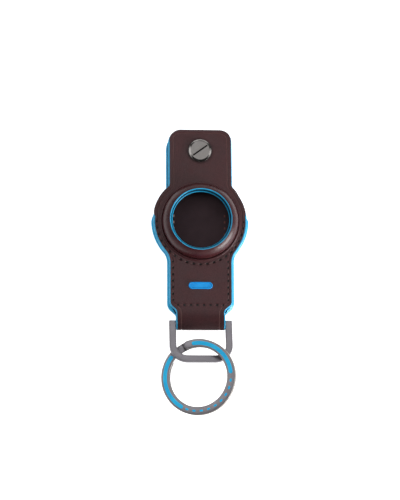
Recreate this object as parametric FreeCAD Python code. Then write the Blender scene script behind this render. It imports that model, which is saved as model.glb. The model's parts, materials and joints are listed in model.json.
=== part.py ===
import FreeCAD
import Part
import math
import os

# Holder for a coin-shaped tag, lying on its back. Millimetres, +Z up, +Y towards the screw flap.
# The origin is on the dome's axis, in the outer face of the back leather.

# Coin-shaped tag that the pocket takes
tag_diameter = 31.9
tag_thickness = 8.0
tag_clearance = 0.3

# Leather, lining and edge paint
leather_thickness = 1.3
lining_thickness = 0.7
paint_thickness = 0.35
paint_round = 0.2

# Front outline, with the dome's axis at its centre
flap_half_width = 13.9
flap_top = 43.0
flap_corner_radius = 5.0
disc_rim = 3.45
neck_radius = 2.2
body_half_width = 14.0
shoulder_start = 38.6
shoulder_drop = 2.8
shoulder_radius = 3.0
strap_straight = 0.5
strap_half_width = 10.9

# Outline of the back's stitched half against the front outline
back_margin = 0.9
back_rise = 0.6
back_shoulder_drop = 1.4

# Loose half of the back: where it bends, its gap to the front lining, and how it lies behind the front
bend_above_axis = 3.0
flap_gap = 0.1
loose_flap_margin = 0.7
loose_disc_margin = -0.5
loose_side_shift = -0.75
loose_drop = 1.4

# Dome, inner ring and window
dome_leather = 1.0
dome_bulge_height = 1.15
dome_inside_bulge_height = 0.9
inner_ring_wall = 0.6
inner_ring_bulge_height = 0.35
lip_cover = 0.6
lip_overlap = 2.05
lip_leather = 0.9
rim_step = 1.0
rim_drop = 2.6
rim_shelf = 1.9

# Strap fold round the D-ring's bar
bar_radius = 1.2
bar_clearance = 0.15
strap_ramp = 4.55

# Binding screw and its post
screw_below_top = 9.7
screw_head_diameter = 10.6
screw_head_height = 1.2
screw_head_bevel = 0.4
screw_shank_diameter = 2.4
tip_clearance = 0.4
slot_end_margin = 1.1
slot_width = 0.65
slot_depth = 0.5
slot_angle = 36.0
post_head_diameter = 10.0
post_head_height = 1.0
thread_clearance = 0.3
barrel_wall = 0.9
post_end_gap = 0.2
bore_floor = 0.1
post_fit = 0.05
post_head_fit = 0.1
barrel_clearance = 0.4

# Stitching
stitch_pitch = 3.0
stitch_length = 2.3
thread_width = 0.6
thread_sunk = 0.25
thread_proud = 0.12
side_stitch_inset = 1.3
side_stitch_gap = 3.9
root_stitch_drop = 0.3
dome_stitch_inset = 1.8

# Plain raised badge on the lower body
badge_above_root = 9.0
badge_length = 11.0
badge_width = 3.2
badge_height = 0.6
badge_round = 0.25

# D-ring, measured flat from the axis of its bar
d_side_clearance = 0.15
d_length = 18.7
d_leg_end = 1.8
d_face_width = 2.9
d_thickness = 1.8
d_corner_radius = 8.2
d_edge_round = 0.35
d_prop_angle = 17.0

# Split key ring, a flat wire of two coils
coil_outer_radius = 17.3
coil_width = 3.7
coil_thickness = 1.15
coil_gap = 0.45
coil_end_angle = 114.0
coil_sweep_angle = 330.0
ramp_sweep_angle = 24.0
ramp_steps = 8
under_sweep_angle = 326.0
ring_offset = -1.3
ring_lap = 10.65
ring_sink = 0.8
floor_clearance = 0.03

# Enamel in the key ring's upper face
enamel_width = 1.9
enamel_depth = 0.25
enamel_proud = 0.04
first_arc_start_angle = 97.0
first_arc_sweep_angle = 89.5
second_arc_start_angle = 239.5
second_arc_sweep_angle = 95.5
mark_first_angle = -6.0
mark_step_angle = 12.8
mark_count = 9
mark_length = 1.6
mark_width = 0.9

# One overrun for all cuts
overrun = 1.0

# Levels through the layers, from the back's outer face upwards
back_top = leather_thickness
pocket_floor = back_top + lining_thickness
front_low = pocket_floor + lining_thickness
front_top = front_low + leather_thickness
lip_level = pocket_floor + tag_thickness + lip_cover
rim_level = lip_level - rim_drop
lip_under = lip_level - lip_leather

# Radii of the pocket from the inside outwards
pocket_radius = tag_diameter / 2 + tag_clearance
ring_outer_radius = pocket_radius + inner_ring_wall
dome_foot_radius = ring_outer_radius + dome_leather
disc_radius = dome_foot_radius + disc_rim
lip_radius = pocket_radius - lip_overlap
rim_radius = lip_radius - rim_step
shelf_radius = rim_radius + rim_shelf
window_slope = (lip_radius - rim_radius) / rim_drop
leather_lip_radius = lip_radius - lip_leather * window_slope

# Shoulder between the body and the strap
shoulder_turn = math.atan2(body_half_width - strap_half_width, shoulder_drop)
shoulder_end = shoulder_start + shoulder_drop
strap_root = -(shoulder_end + shoulder_radius * math.tan(shoulder_turn / 2) + strap_straight)

# Fold round the bar
fold_y = strap_root - strap_ramp
fold_inner_radius = bar_radius + bar_clearance
fold_outer_radius = fold_inner_radius + leather_thickness
fold_level = fold_outer_radius

# Screw and post, from the flap's top and the screw's shank
screw_y = flap_top - screw_below_top
post_bore_diameter = screw_shank_diameter + 2 * thread_clearance
post_barrel_diameter = post_bore_diameter + 2 * barrel_wall
bore_low = post_head_height - bore_floor
screw_tip_height = bore_low + tip_clearance
slot_length = screw_head_diameter - 2 * slot_end_margin

# Rows of stitches: as many as fit
dome_stitch_radius = disc_radius - dome_stitch_inset
dome_stitch_count = int(math.pi * dome_stitch_radius / stitch_pitch)
side_stitch_x = body_half_width - side_stitch_inset
side_stitch_top = math.sqrt(dome_stitch_radius**2 - side_stitch_x**2) + side_stitch_gap
side_stitch_count = int((shoulder_start - side_stitch_top) / stitch_pitch)
root_stitch_y = -shoulder_start - root_stitch_drop
root_stitch_count = int(2 * strap_half_width / stitch_pitch)

# D-ring round the strap, and the height of its far side
d_inner_half_width = strap_half_width + paint_thickness + d_side_clearance
d_half_width = d_inner_half_width + d_face_width
d_prop = math.radians(d_prop_angle)
d_side_level = fold_level + (d_length - d_face_width / 2) * math.sin(d_prop)

# Key ring levels in its own frame
coil_rise = (coil_thickness + coil_gap) / 2
coil_middle_radius = coil_outer_radius - coil_width / 2
ring_half_height = coil_rise + coil_thickness / 2

# Key ring's centre, and its tilt: one side on the floor, the other over the D-ring
ring_y = fold_y - d_length * math.cos(d_prop) + ring_lap - coil_outer_radius
ring_level = d_side_level - ring_sink
ring_reach = math.hypot(coil_outer_radius, ring_half_height)
ring_tilt = math.asin((ring_level - floor_clearance) / ring_reach)
ring_tilt -= math.atan2(ring_half_height, coil_outer_radius)

x_axis = FreeCAD.Vector(1, 0, 0)
y_axis = FreeCAD.Vector(0, 1, 0)
z_axis = FreeCAD.Vector(0, 0, 1)
origin = FreeCAD.Vector(0, 0, 0)


def flat(x, y):
    return FreeCAD.Vector(x, y, 0)


def upright(radius, level):
    return FreeCAD.Vector(radius, 0, level)


def sideways(y, level):
    return FreeCAD.Vector(0, y, level)


def line(a, b):
    return Part.LineSegment(a, b).toShape()


def arc(centre, radius, start, end):
    """Arc of less than a half circle, from the direction start to the direction end."""
    first = FreeCAD.Vector(start).normalize()
    last = FreeCAD.Vector(end).normalize()
    middle = (first + last).normalize()
    return Part.Arc(centre + first * radius, centre + middle * radius, centre + last * radius).toShape()


def bulged(a, b, height):
    """Arc from a to b in the XZ plane whose middle stands off the chord by height, away from the Z axis."""
    chord = b - a
    outward = FreeCAD.Vector(chord.z, 0, -chord.x).normalize()
    return Part.Arc(a, (a + b) * 0.5 + outward * height, b).toShape()


def face_of(edges):
    return Part.Face(Part.Wire(Part.__sortEdges__(edges)))


def prism(face, low, high):
    solid = face.extrude(z_axis * (high - low))
    solid.translate(z_axis * low)
    return solid


def revolved(edges):
    return face_of(edges).revolve(origin, z_axis, 360)


def cylinder(radius, low, high, x=0, y=0):
    return Part.makeCylinder(radius, high - low, FreeCAD.Vector(x, y, low))


def outline(grow, disc_grow, strap_grow, end, rise=0, lower_shoulder=0):
    """Holder's outline, grown and moved up by rise, with the strap cut off square at end."""
    top = flap_top + grow
    flap_side = flap_half_width + grow
    corner = flap_corner_radius + grow
    body_side = body_half_width + grow
    strap_side = strap_half_width + strap_grow
    disc = disc_radius + disc_grow
    hollow = neck_radius - grow
    reach = disc + hollow
    upper_neck = flat(flap_side + hollow, 0)
    upper_neck.y = math.sqrt(reach**2 - upper_neck.x**2)
    lower_neck = flat(body_side + hollow, 0)
    lower_neck.y = -math.sqrt(reach**2 - lower_neck.x**2)
    slope = FreeCAD.Vector(-math.sin(shoulder_turn), -math.cos(shoulder_turn), 0)
    across = FreeCAD.Vector(-slope.y, slope.x, 0)
    tangent = math.tan(shoulder_turn / 2)
    outer_round = shoulder_radius + grow
    inner_round = shoulder_radius - grow
    knee = flat(body_side, -shoulder_start - lower_shoulder - grow * tangent)
    foot = knee + slope * ((body_side - strap_side) / math.sin(shoulder_turn))
    knee_start = knee + y_axis * outer_round * tangent
    knee_end = knee + slope * outer_round * tangent
    foot_start = foot - slope * inner_round * tangent
    foot_end = foot - y_axis * inner_round * tangent
    stop = end - rise
    right = [
        line(flat(0, top), flat(flap_side - corner, top)),
        arc(flat(flap_side - corner, top - corner), corner, y_axis, x_axis),
        line(flat(flap_side, top - corner), flat(flap_side, upper_neck.y)),
        arc(upper_neck, hollow, -x_axis, -upper_neck),
        arc(origin, disc, upper_neck, lower_neck),
        arc(lower_neck, hollow, -lower_neck, -x_axis),
        line(flat(body_side, lower_neck.y), knee_start),
        arc(knee_start - x_axis * outer_round, outer_round, x_axis, across),
        line(knee_end, foot_start),
        arc(foot_end + x_axis * inner_round, inner_round, -across, -x_axis),
        line(foot_end, flat(strap_side, stop)),
        line(flat(strap_side, stop), flat(0, stop)),
    ]
    left = [edge.mirror(origin, x_axis) for edge in right]
    face = face_of(right + left)
    face.translate(y_axis * rise)
    return face


def front_outline(grow):
    return outline(grow, grow, grow, strap_root)


def stitched_outline(grow, end=fold_y):
    """Outline of the back's stitched half, which shows all round the front."""
    margin = back_margin + grow
    return outline(margin, margin, grow, end, back_rise, back_shoulder_drop)


def loose_outline(grow, end=fold_y):
    """Outline of the back's loose half, which shows on one side of the screw flap only."""
    face = outline(loose_flap_margin + grow, loose_disc_margin + grow, grow, end, -loose_drop)
    face.translate(x_axis * loose_side_shift)
    return face


def half_space(above):
    """Block on one side of the line where the back bends: above it towards the flap, or below it."""
    width = 2 * (disc_radius + back_margin + paint_thickness + overrun)
    depth = pocket_floor + 2 * overrun
    length = (flap_top if above else -fold_y) + bend_above_axis + overrun
    start = bend_above_axis if above else bend_above_axis - length
    return Part.makeBox(width, length, depth, FreeCAD.Vector(-width / 2, start, -overrun))


def painted_edge(inner, outer, low, high):
    """Band of paint between two outlines, with its outer edges rounded."""
    block = prism(outer, low, high)
    rims = [edge for edge in block.Edges if edge.BoundBox.ZLength < paint_round / 2]
    return block.makeFillet(paint_round, rims).cut(prism(inner, low, high))


def slot_face(length, width):
    """Round-ended strip along X, centred on the origin."""
    half = width / 2
    reach = length / 2 - half
    right = Part.Arc(flat(reach, -half), flat(reach + half, 0), flat(reach, half)).toShape()
    left = Part.Arc(flat(-reach, half), flat(-reach - half, 0), flat(-reach, -half)).toShape()
    sides = [line(flat(-reach, -half), flat(reach, -half)), line(flat(reach, half), flat(-reach, half))]
    return face_of([right, left] + sides)


def stitch(x, y, angle):
    """One stitch: a thread bar sunk in the front leather and its twin in the back leather."""
    bars = []
    for low, high in ((front_top - thread_sunk, front_top + thread_proud), (0, thread_sunk)):
        bar = prism(slot_face(stitch_length, thread_width), low, high)
        bar.rotate(origin, z_axis, angle)
        bar.translate(flat(x, y))
        bars.append(bar)
    return bars


def side_stitching():
    bars = []
    for side in (-side_stitch_x, side_stitch_x):
        for index in range(side_stitch_count):
            bars += stitch(side, -side_stitch_top - (index + 0.5) * stitch_pitch, 90)
    return Part.makeCompound(bars)


def root_stitching():
    bars = []
    for index in range(root_stitch_count):
        bars += stitch((index - (root_stitch_count - 1) / 2) * stitch_pitch, root_stitch_y, 0)
    return Part.makeCompound(bars)


def dome_stitching():
    bars = []
    step = 180 / dome_stitch_count
    for index in range(dome_stitch_count):
        angle = 180 + (index + 0.5) * step
        turn = math.radians(angle)
        bars += stitch(dome_stitch_radius * math.cos(turn), dome_stitch_radius * math.sin(turn), angle + 90)
    return Part.makeCompound(bars)


def dome_outside():
    return bulged(upright(dome_foot_radius, front_top), upright(lip_radius, lip_level), dome_bulge_height)


def dome_inside():
    foot = upright(ring_outer_radius, front_top)
    return bulged(foot, upright(leather_lip_radius, lip_under), dome_inside_bulge_height)


def screw_hole():
    radius = post_barrel_diameter / 2 + barrel_clearance
    return cylinder(radius, pocket_floor - overrun, front_top + overrun, y=screw_y)


def front_panel(threads):
    """Front leather: flat panel with the moulded dome, cut out for the window, the screw and the stitches."""
    panel = prism(front_outline(0), front_low, front_top)
    panel = panel.cut(cylinder(ring_outer_radius, front_low - overrun, front_top + overrun))
    wall = [
        line(upright(ring_outer_radius, front_top), upright(ring_outer_radius, front_low)),
        line(upright(ring_outer_radius, front_low), upright(dome_foot_radius, front_low)),
        line(upright(dome_foot_radius, front_low), upright(dome_foot_radius, front_top)),
        dome_outside(),
        line(upright(lip_radius, lip_level), upright(leather_lip_radius, lip_under)),
        dome_inside(),
    ]
    return panel.fuse(revolved(wall)).removeSplitter().cut(screw_hole()).cut(threads)


def front_lining():
    lining = prism(front_outline(0), pocket_floor, front_low)
    return lining.cut(cylinder(ring_outer_radius, 0, front_top)).cut(screw_hole())


def dome_inner_ring():
    """Moulded ring that backs the dome: pocket wall, shelf over the tag and the window's lower rim."""
    ring = [
        line(upright(pocket_radius, pocket_floor), upright(ring_outer_radius, pocket_floor)),
        line(upright(ring_outer_radius, pocket_floor), upright(ring_outer_radius, front_top)),
        dome_inside(),
        line(upright(leather_lip_radius, lip_under), upright(rim_radius, rim_level)),
        line(upright(rim_radius, rim_level), upright(shelf_radius, rim_level)),
        bulged(upright(pocket_radius, front_top), upright(shelf_radius, rim_level), inner_ring_bulge_height),
        line(upright(pocket_radius, front_top), upright(pocket_radius, pocket_floor)),
    ]
    return revolved(ring)


def front_edge_paint():
    return painted_edge(front_outline(0), front_outline(paint_thickness), pocket_floor, front_top)


def window_edge_paint():
    lip = upright(lip_radius, lip_level)
    rim = upright(rim_radius, rim_level)
    inward = -x_axis * paint_thickness
    coat = [line(lip, rim), line(rim, rim + inward), line(rim + inward, lip + inward), line(lip + inward, lip)]
    return revolved(coat)


def touch_point(radius, y, level):
    """Where the upper tangent from a point at y and level meets that circle round the fold's axis."""
    run = y - fold_y
    rise = level - fold_level
    turn = math.atan2(rise, run) + math.acos(radius / math.hypot(run, rise))
    return sideways(fold_y + radius * math.cos(turn), fold_level + radius * math.sin(turn))


def fold_profile():
    """Strap's side view, from the front panel's end, over the bar and round to the back."""
    axis = sideways(fold_y, fold_level)
    inner_touch = touch_point(fold_inner_radius, strap_root, front_low)
    outer_touch = touch_point(fold_outer_radius, strap_root, front_top)
    edges = [line(sideways(strap_root, front_low), sideways(strap_root, front_top))]
    for level, radius, touch in (
        (front_low, fold_inner_radius, inner_touch),
        (front_top, fold_outer_radius, outer_touch),
    ):
        edges.append(line(sideways(strap_root, level), touch))
        edges.append(arc(axis, radius, touch - axis, -y_axis))
        edges.append(arc(axis, radius, -y_axis, -z_axis))
    edges.append(line(axis - z_axis * fold_inner_radius, axis - z_axis * fold_outer_radius))
    return face_of(edges)


def strap_fold():
    fold = fold_profile().extrude(x_axis * 2 * strap_half_width)
    fold.translate(-x_axis * strap_half_width)
    return fold


def strap_fold_edge_paint():
    right = fold_profile().extrude(x_axis * paint_thickness)
    right.translate(x_axis * strap_half_width)
    return Part.makeCompound([right, right.mirror(origin, x_axis)])


def back_layers(sheet_outline, space):
    """Leather, lining and edge paint of one half of the back, kept to its side of the bend."""
    leather = prism(sheet_outline(0), 0, back_top)
    lining = prism(sheet_outline(0, strap_root), back_top, pocket_floor)
    paint = painted_edge(sheet_outline(0), sheet_outline(paint_thickness), 0, pocket_floor)
    root = Part.makeBox(
        2 * (strap_half_width + paint_thickness + overrun),
        strap_root - fold_y + overrun,
        pocket_floor,
        FreeCAD.Vector(-strap_half_width - paint_thickness - overrun, fold_y - overrun, back_top),
    )
    leather = leather.cut(post_hole())
    lining = lining.cut(post_hole())
    return [layer.common(space) for layer in (leather, lining, paint.cut(root))]


def post_hole():
    hole = cylinder(post_barrel_diameter / 2 + post_fit, -overrun, front_low, y=screw_y)
    recess = cylinder(post_head_diameter / 2 + post_head_fit, -overrun, post_head_height, y=screw_y)
    return hole.fuse(recess)


def binding_post():
    """Flanged nut: its head lies in the back leather, and its barrel reaches through to the front."""
    top = front_top - post_end_gap
    post = cylinder(post_head_diameter / 2, 0, post_head_height, y=screw_y)
    post = post.fuse(cylinder(post_barrel_diameter / 2, 0, top, y=screw_y)).removeSplitter()
    return post.cut(cylinder(post_bore_diameter / 2, bore_low, top + overrun, y=screw_y))


def binding_screw():
    """Flat slotted head with a bevelled rim, on a shank that enters the post."""
    top = front_top + screw_head_height
    radius = screw_head_diameter / 2
    bevel = Part.makeCone(radius, radius - screw_head_bevel, screw_head_bevel)
    bevel.translate(FreeCAD.Vector(0, screw_y, top - screw_head_bevel))
    head = cylinder(radius, front_top, top - screw_head_bevel, y=screw_y).fuse(bevel)
    shank = cylinder(screw_shank_diameter / 2, screw_tip_height, front_top, y=screw_y)
    slot = prism(slot_face(slot_length, slot_width), top - slot_depth, top + overrun)
    slot.rotate(origin, z_axis, slot_angle)
    slot.translate(flat(0, screw_y))
    return head.fuse(shank).removeSplitter().cut(slot)


def front_badge():
    badge = prism(slot_face(badge_length, badge_width), front_top, front_top + badge_height)
    rim = [edge for edge in badge.Edges if edge.BoundBox.ZMin > front_top + badge_height / 2]
    badge = badge.makeFillet(badge_round, rim)
    badge.translate(flat(0, root_stitch_y + badge_above_root))
    return badge


def d_outline(half_width, length, corner, top):
    right = [
        line(flat(half_width, top), flat(half_width, corner - length)),
        arc(flat(half_width - corner, corner - length), corner, x_axis, -y_axis),
        line(flat(half_width - corner, -length), flat(0, -length)),
        line(flat(0, top), flat(half_width, top)),
    ]
    return face_of(right + [edge.mirror(origin, x_axis) for edge in right])


def d_ring():
    """Flat frame with square leg ends and a round bar, propped up about the bar's axis."""
    outer = d_outline(d_half_width, d_length, d_corner_radius, d_leg_end)
    corner = d_corner_radius - d_face_width
    inner = d_outline(d_inner_half_width, d_length - d_face_width, corner, d_leg_end + overrun)
    frame = prism(outer.cut(inner), -d_thickness / 2, d_thickness / 2)
    rims = [edge for edge in frame.Edges if edge.BoundBox.ZLength < d_edge_round]
    frame = frame.makeFillet(d_edge_round, rims)
    bar = Part.makeCylinder(bar_radius, 2 * d_inner_half_width, -x_axis * d_inner_half_width, x_axis)
    ring = frame.fuse(bar).removeSplitter()
    ring.rotate(origin, x_axis, -d_prop_angle)
    ring.translate(sideways(fold_y, fold_level))
    return ring


def around(radius, angle):
    turn = math.radians(angle)
    return flat(radius * math.cos(turn), radius * math.sin(turn))


def band(radius, width, start, run, low, high, round_start, round_end):
    """Flat curved bar that runs clockwise from the angle start, with round ends where asked."""
    inner = radius - width / 2
    outer = radius + width / 2
    end = start - run
    middle = (start + end) / 2
    edges = [
        Part.Arc(around(outer, start), around(outer, middle), around(outer, end)).toShape(),
        Part.Arc(around(inner, start), around(inner, middle), around(inner, end)).toShape(),
        line(around(inner, start), around(outer, start)),
        line(around(inner, end), around(outer, end)),
    ]
    bar = prism(face_of(edges), low, high)
    for angle, wanted in ((start, round_start), (end, round_end)):
        if wanted:
            tip = around(radius, angle)
            bar = bar.fuse(cylinder(width / 2, low, high, tip.x, tip.y))
    return bar.removeSplitter()


def ramp_level(share):
    """Height of the wire's middle along the ramp, easing from the upper coil to the lower one."""
    return coil_rise * math.cos(math.pi * share)


def coil_ramp():
    sections = []
    for index in range(ramp_steps + 1):
        share = index / ramp_steps
        angle = coil_end_angle - coil_sweep_angle - ramp_sweep_angle * share
        low = z_axis * (ramp_level(share) - coil_thickness / 2)
        high = z_axis * (ramp_level(share) + coil_thickness / 2)
        inner = around(coil_outer_radius - coil_width, angle)
        outer = around(coil_outer_radius, angle)
        corners = [inner + low, outer + low, outer + high, inner + high, inner + low]
        sections.append(Part.makePolygon(corners))
    return Part.makeLoft(sections, True, True)


def place_on_ring(shape):
    shape.rotate(origin, y_axis, -math.degrees(ring_tilt))
    shape.translate(FreeCAD.Vector(ring_offset, ring_y, ring_level))
    return shape


def enamel_bar(start, run, width):
    return band(
        coil_middle_radius,
        width,
        start,
        run,
        ring_half_height - enamel_depth,
        ring_half_height + enamel_proud,
        True,
        True,
    )


def enamel_marks():
    run = math.degrees((mark_length - mark_width) / coil_middle_radius)
    starts = [mark_first_angle - index * mark_step_angle for index in range(mark_count)]
    return Part.makeCompound([enamel_bar(start, run, mark_width) for start in starts])


def coil_turn(start, sweep, level, round_start, round_end):
    low = level - coil_thickness / 2
    return band(
        coil_middle_radius, coil_width, start, sweep, low, low + coil_thickness, round_start, round_end
    )


def split_ring(enamels):
    """One flat wire: the upper coil, a ramp beside its free end, and the coil underneath."""
    under_start = coil_end_angle - coil_sweep_angle - ramp_sweep_angle
    upper = coil_turn(coil_end_angle, coil_sweep_angle, coil_rise, True, False)
    under = coil_turn(under_start, under_sweep_angle, -coil_rise, False, True)
    wire = upper.fuse([coil_ramp(), under]).removeSplitter()
    for enamel in enamels:
        wire = wire.cut(enamel)
    return wire


def coil_clearance():
    """Least height between the wire's two turns, measured at points one turn apart."""
    least = math.inf
    for index in range(int(coil_sweep_angle)):
        upper = coil_rise
        below = ramp_level(min(1.0, max(0.0, (index + 360 - coil_sweep_angle) / ramp_sweep_angle)))
        least = min(least, upper - below - coil_thickness)
    return least


def build():
    threads = {
        "side_stitching": side_stitching(),
        "root_stitching": root_stitching(),
        "dome_stitching": dome_stitching(),
    }
    all_threads = Part.makeCompound(list(threads.values()))
    stitched = back_layers(stitched_outline, half_space(False))
    flap_space = half_space(True).common(prism(loose_outline(paint_thickness), 0, pocket_floor - flap_gap))
    loose = back_layers(loose_outline, flap_space)
    enamels = {
        "enamel_first_arc": enamel_bar(first_arc_start_angle, first_arc_sweep_angle, enamel_width),
        "enamel_second_arc": enamel_bar(second_arc_start_angle, second_arc_sweep_angle, enamel_width),
        "enamel_marks": enamel_marks(),
    }
    nodes = {
        "front_panel": front_panel(all_threads),
        "front_lining": front_lining(),
        "dome_inner_ring": dome_inner_ring(),
        "front_edge_paint": front_edge_paint(),
        "window_edge_paint": window_edge_paint(),
        "strap_fold": strap_fold(),
        "strap_fold_edge_paint": strap_fold_edge_paint(),
        "back_panel": stitched[0].cut(all_threads),
        "back_lining": stitched[1],
        "back_edge_paint": stitched[2],
        "back_flap": loose[0],
        "back_flap_lining": loose[1],
        "back_flap_edge_paint": loose[2],
        "binding_post": binding_post(),
        "binding_screw": binding_screw(),
        "front_badge": front_badge(),
        "d_ring": d_ring(),
        "split_ring": place_on_ring(split_ring(enamels.values())),
    }
    nodes.update(threads)
    for name, enamel in enamels.items():
        nodes[name] = place_on_ring(enamel)
    return nodes


os.makedirs("parts", exist_ok=True)
for name, shape in build().items():
    shape.exportStep("parts/" + name + ".step")
    print(name, len(shape.Solids), shape.isValid(), round(shape.Volume, 3))
print("least gap between the key ring's coils", round(coil_clearance(), 3))
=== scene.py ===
import bpy
import json
import math
import numpy as np
from mathutils import Matrix, Vector


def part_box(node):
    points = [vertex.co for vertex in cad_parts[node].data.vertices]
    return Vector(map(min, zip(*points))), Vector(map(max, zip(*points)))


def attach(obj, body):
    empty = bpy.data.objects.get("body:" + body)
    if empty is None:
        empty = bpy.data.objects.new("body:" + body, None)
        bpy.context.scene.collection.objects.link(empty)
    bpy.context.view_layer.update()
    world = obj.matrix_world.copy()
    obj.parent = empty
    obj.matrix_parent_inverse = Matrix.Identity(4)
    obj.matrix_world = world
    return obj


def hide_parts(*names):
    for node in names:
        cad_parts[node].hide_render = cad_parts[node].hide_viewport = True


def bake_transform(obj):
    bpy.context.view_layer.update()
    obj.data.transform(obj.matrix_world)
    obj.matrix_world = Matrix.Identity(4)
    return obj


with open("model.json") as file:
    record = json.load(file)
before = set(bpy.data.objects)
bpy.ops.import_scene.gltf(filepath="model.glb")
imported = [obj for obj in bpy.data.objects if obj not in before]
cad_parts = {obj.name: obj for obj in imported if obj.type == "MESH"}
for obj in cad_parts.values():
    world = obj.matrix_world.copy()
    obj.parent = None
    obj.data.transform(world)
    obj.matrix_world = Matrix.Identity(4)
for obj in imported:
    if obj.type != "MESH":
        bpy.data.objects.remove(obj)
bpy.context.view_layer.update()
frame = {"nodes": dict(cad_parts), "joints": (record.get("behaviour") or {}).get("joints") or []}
joints = {joint["name"]: joint for joint in frame["joints"]}
mm = 0.001
print("frame loaded:", len(frame["nodes"]), "nodes")


def spanOf(node, axis):
    low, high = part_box(node)
    return low[axis] / mm, high[axis] / mm


def middleOf(node, axis):
    return sum(spanOf(node, axis)) / 2


# Levels of the layers, from the back's outer face upwards, read from the frame in millimetres
level = {
    "backTop": spanOf("back_panel", 2)[1],
    "pocketFloor": spanOf("back_lining", 2)[1],
    "flapLining": spanOf("back_flap_lining", 2)[1],
    "frontLow": spanOf("front_lining", 2)[1],
    "frontTop": spanOf("front_badge", 2)[0],
    "lip": spanOf("window_edge_paint", 2)[1],
    "rim": spanOf("window_edge_paint", 2)[0],
}
level["frontMiddle"] = (level["frontLow"] + level["frontTop"]) / 2
level["backMiddle"] = level["backTop"] / 2

# Outline of the holder in millimetres, with the dome's axis at the origin
holder = {
    "flapHalf": 13.9,
    "flapTop": spanOf("front_lining", 1)[1],
    "flapCorner": 5.0,
    "disc": 21.3,
    "neck": 2.2,  # hollow between the flap and the disc
    "lowerNeck": 8.5,  # and between the disc and the body
    "bodyHalf": 14.0,
    "shoulderStart": 38.6,
    "shoulderDrop": 2.8,
    "shoulderRound": 3.0,
    "strapHalf": 10.9,
    "strapRoot": spanOf("front_lining", 1)[0],
    "inset": 1.35,  # from the body's edge to the creased line that the stitches lie in
    "discInset": 1.8,  # the same on the disc and on the flap
    "strapInset": 2.15,  # the same on the strap
    "rightGrow": 0.4,  # how much further the flap and the body reach on the right
    "rightNeck": 0.3,  # and the hollows beside the disc
    "neckAt": 15.0,  # how far above and below the dome's axis those hollows lie
    "neckSpan": 2.2,
}
# Where one stretch of the outline passes into the next: the Y at which a share is 0, and at which it is 1
zones = {
    "rightFlap": (11.5, 16.0),
    "rightBody": (-15.0, -19.0),
    "rightShoulder": (-41.5, -37.5),
    "flapSide": (14.0, 18.5),
    "flapCorner": (1.0, 6.5),  # counted down from the flap's top
    "discUpper": (0.5, 7.0),
    "creaseBody": (-14.5, -17.5),
    "creaseShoulder": (-40.5, -38.0),
    "creaseStrap": (-40.5, -43.5),
    # where the strap's creased lines turn pale: partly wear, partly painted highlight
    "wearAndHighlightStrap": (-38.5, -41.0),
    "discLap": (-20.0, -12.0),
    "ledge": (-43.0, -41.0),
    "rightHalf": (8.0, 12.0),  # this one and the next in X
    "leftHalf": (-12.0, -15.0),
}
# The back's two halves against the front: the stitched one shows all round, the loose one on the flap's left
stitched = {"grow": 0.9, "discGrow": 0.9, "rise": 0.6, "lowerShoulder": 1.4}
loose = {"grow": 0.7, "discGrow": -0.5, "rise": -1.4, "lowerShoulder": 0.0, "shift": -0.75, "cornerGrow": 2.6}
bendY = joints["flap_open"]["pos_m"][1] / mm
fold = {
    "y": joints["d_ring_swing"]["pos_m"][1] / mm,
    "level": joints["d_ring_swing"]["pos_m"][2] / mm,
    "inner": 1.35,
    "early": 2.0,  # how far before the strap's root the leather begins to rise
    "ease": 0.6,  # how softly the strap bends at the ends of its ramp
    "stepAbove": 2.8,  # where the sewn edge begins to stand out, above and below the back's bend
    "stepBelow": 3.0,
    "sewAbove": 2.4,  # where the paint begins to lap over the sewn edge
    "sewBelow": 0.8,
    "gap": 0.4,  # left out of the back's outline on each side of the bend
    "bendReach": 6.0,  # how near the bend, and the strap's end, the outline's normals are set straight
    "endReach": 0.6,
}
screwY = middleOf("binding_screw", 1)


# Numbers
def smooth(value, low=0.0, high=1.0):
    # 0 before low, 1 after high, and 3t^2 - 2t^3 between
    t = np.clip((value - low) / (high - low), 0, 1)
    return t * t * (3 - 2 * t)


def bell(value, width):
    return np.exp(-((value / width) ** 2))


def lengthAlong(points):
    return np.concatenate(([0], np.cumsum(np.linalg.norm(np.diff(points, axis=0), axis=1))))


def resample(points, count):
    # count points at equal steps along an open line
    run = lengthAlong(points)
    steps = np.linspace(0, run[-1], count)
    return np.column_stack([np.interp(steps, run, column) for column in points.T])


def arcPoints(centre, radius, start, end, step=0.03):
    # centre + radius (cos t, sin t), with t from start to end
    turn = np.linspace(start, end, max(4, int(abs(end - start) * radius / step)))
    return np.column_stack((centre[0] + radius * np.cos(turn), centre[1] + radius * np.sin(turn)))


def arcThrough(first, last, bulge, count):
    # arc from first to last whose middle stands off the chord by bulge, to the right of its direction
    first = np.array(first, float)
    last = np.array(last, float)
    chord = last - first
    length = np.hypot(*chord)
    side = np.array((chord[1], -chord[0])) / length
    radius = (length**2 / 4 + bulge**2) / (2 * bulge)
    centre = (first + last) / 2 + side * (bulge - radius)
    start = math.atan2(*(first - centre)[::-1])
    turn = 2 * math.asin(length / 2 / radius)
    angles = start + np.linspace(0, turn, count)
    return np.column_stack((centre[0] + radius * np.cos(angles), centre[1] + radius * np.sin(angles)))


def normalsOf(points, closed):
    # unit normals to the left of a flat line's direction
    if closed:
        along = np.roll(points, -1, axis=0) - np.roll(points, 1, axis=0)
    else:
        along = np.gradient(points, axis=0)
    along = along / np.linalg.norm(along, axis=1, keepdims=True)
    return np.column_stack((-along[:, 1], along[:, 0]))


# Meshes
def gridQuads(rows, columns, wrapRows=False, wrapColumns=False):
    # quads of a grid whose point (row, column) has the index row * columns + column
    row = np.arange(rows if wrapRows else rows - 1)[:, None]
    column = np.arange(columns if wrapColumns else columns - 1)[None, :]
    nextRow = (row + 1) % rows
    nextColumn = (column + 1) % columns
    corners = (row, column), (nextRow, column), (nextRow, nextColumn), (row, nextColumn)
    return np.stack([(r * columns + c + 0 * (row + column)).ravel() for r, c in corners], axis=1)


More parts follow.
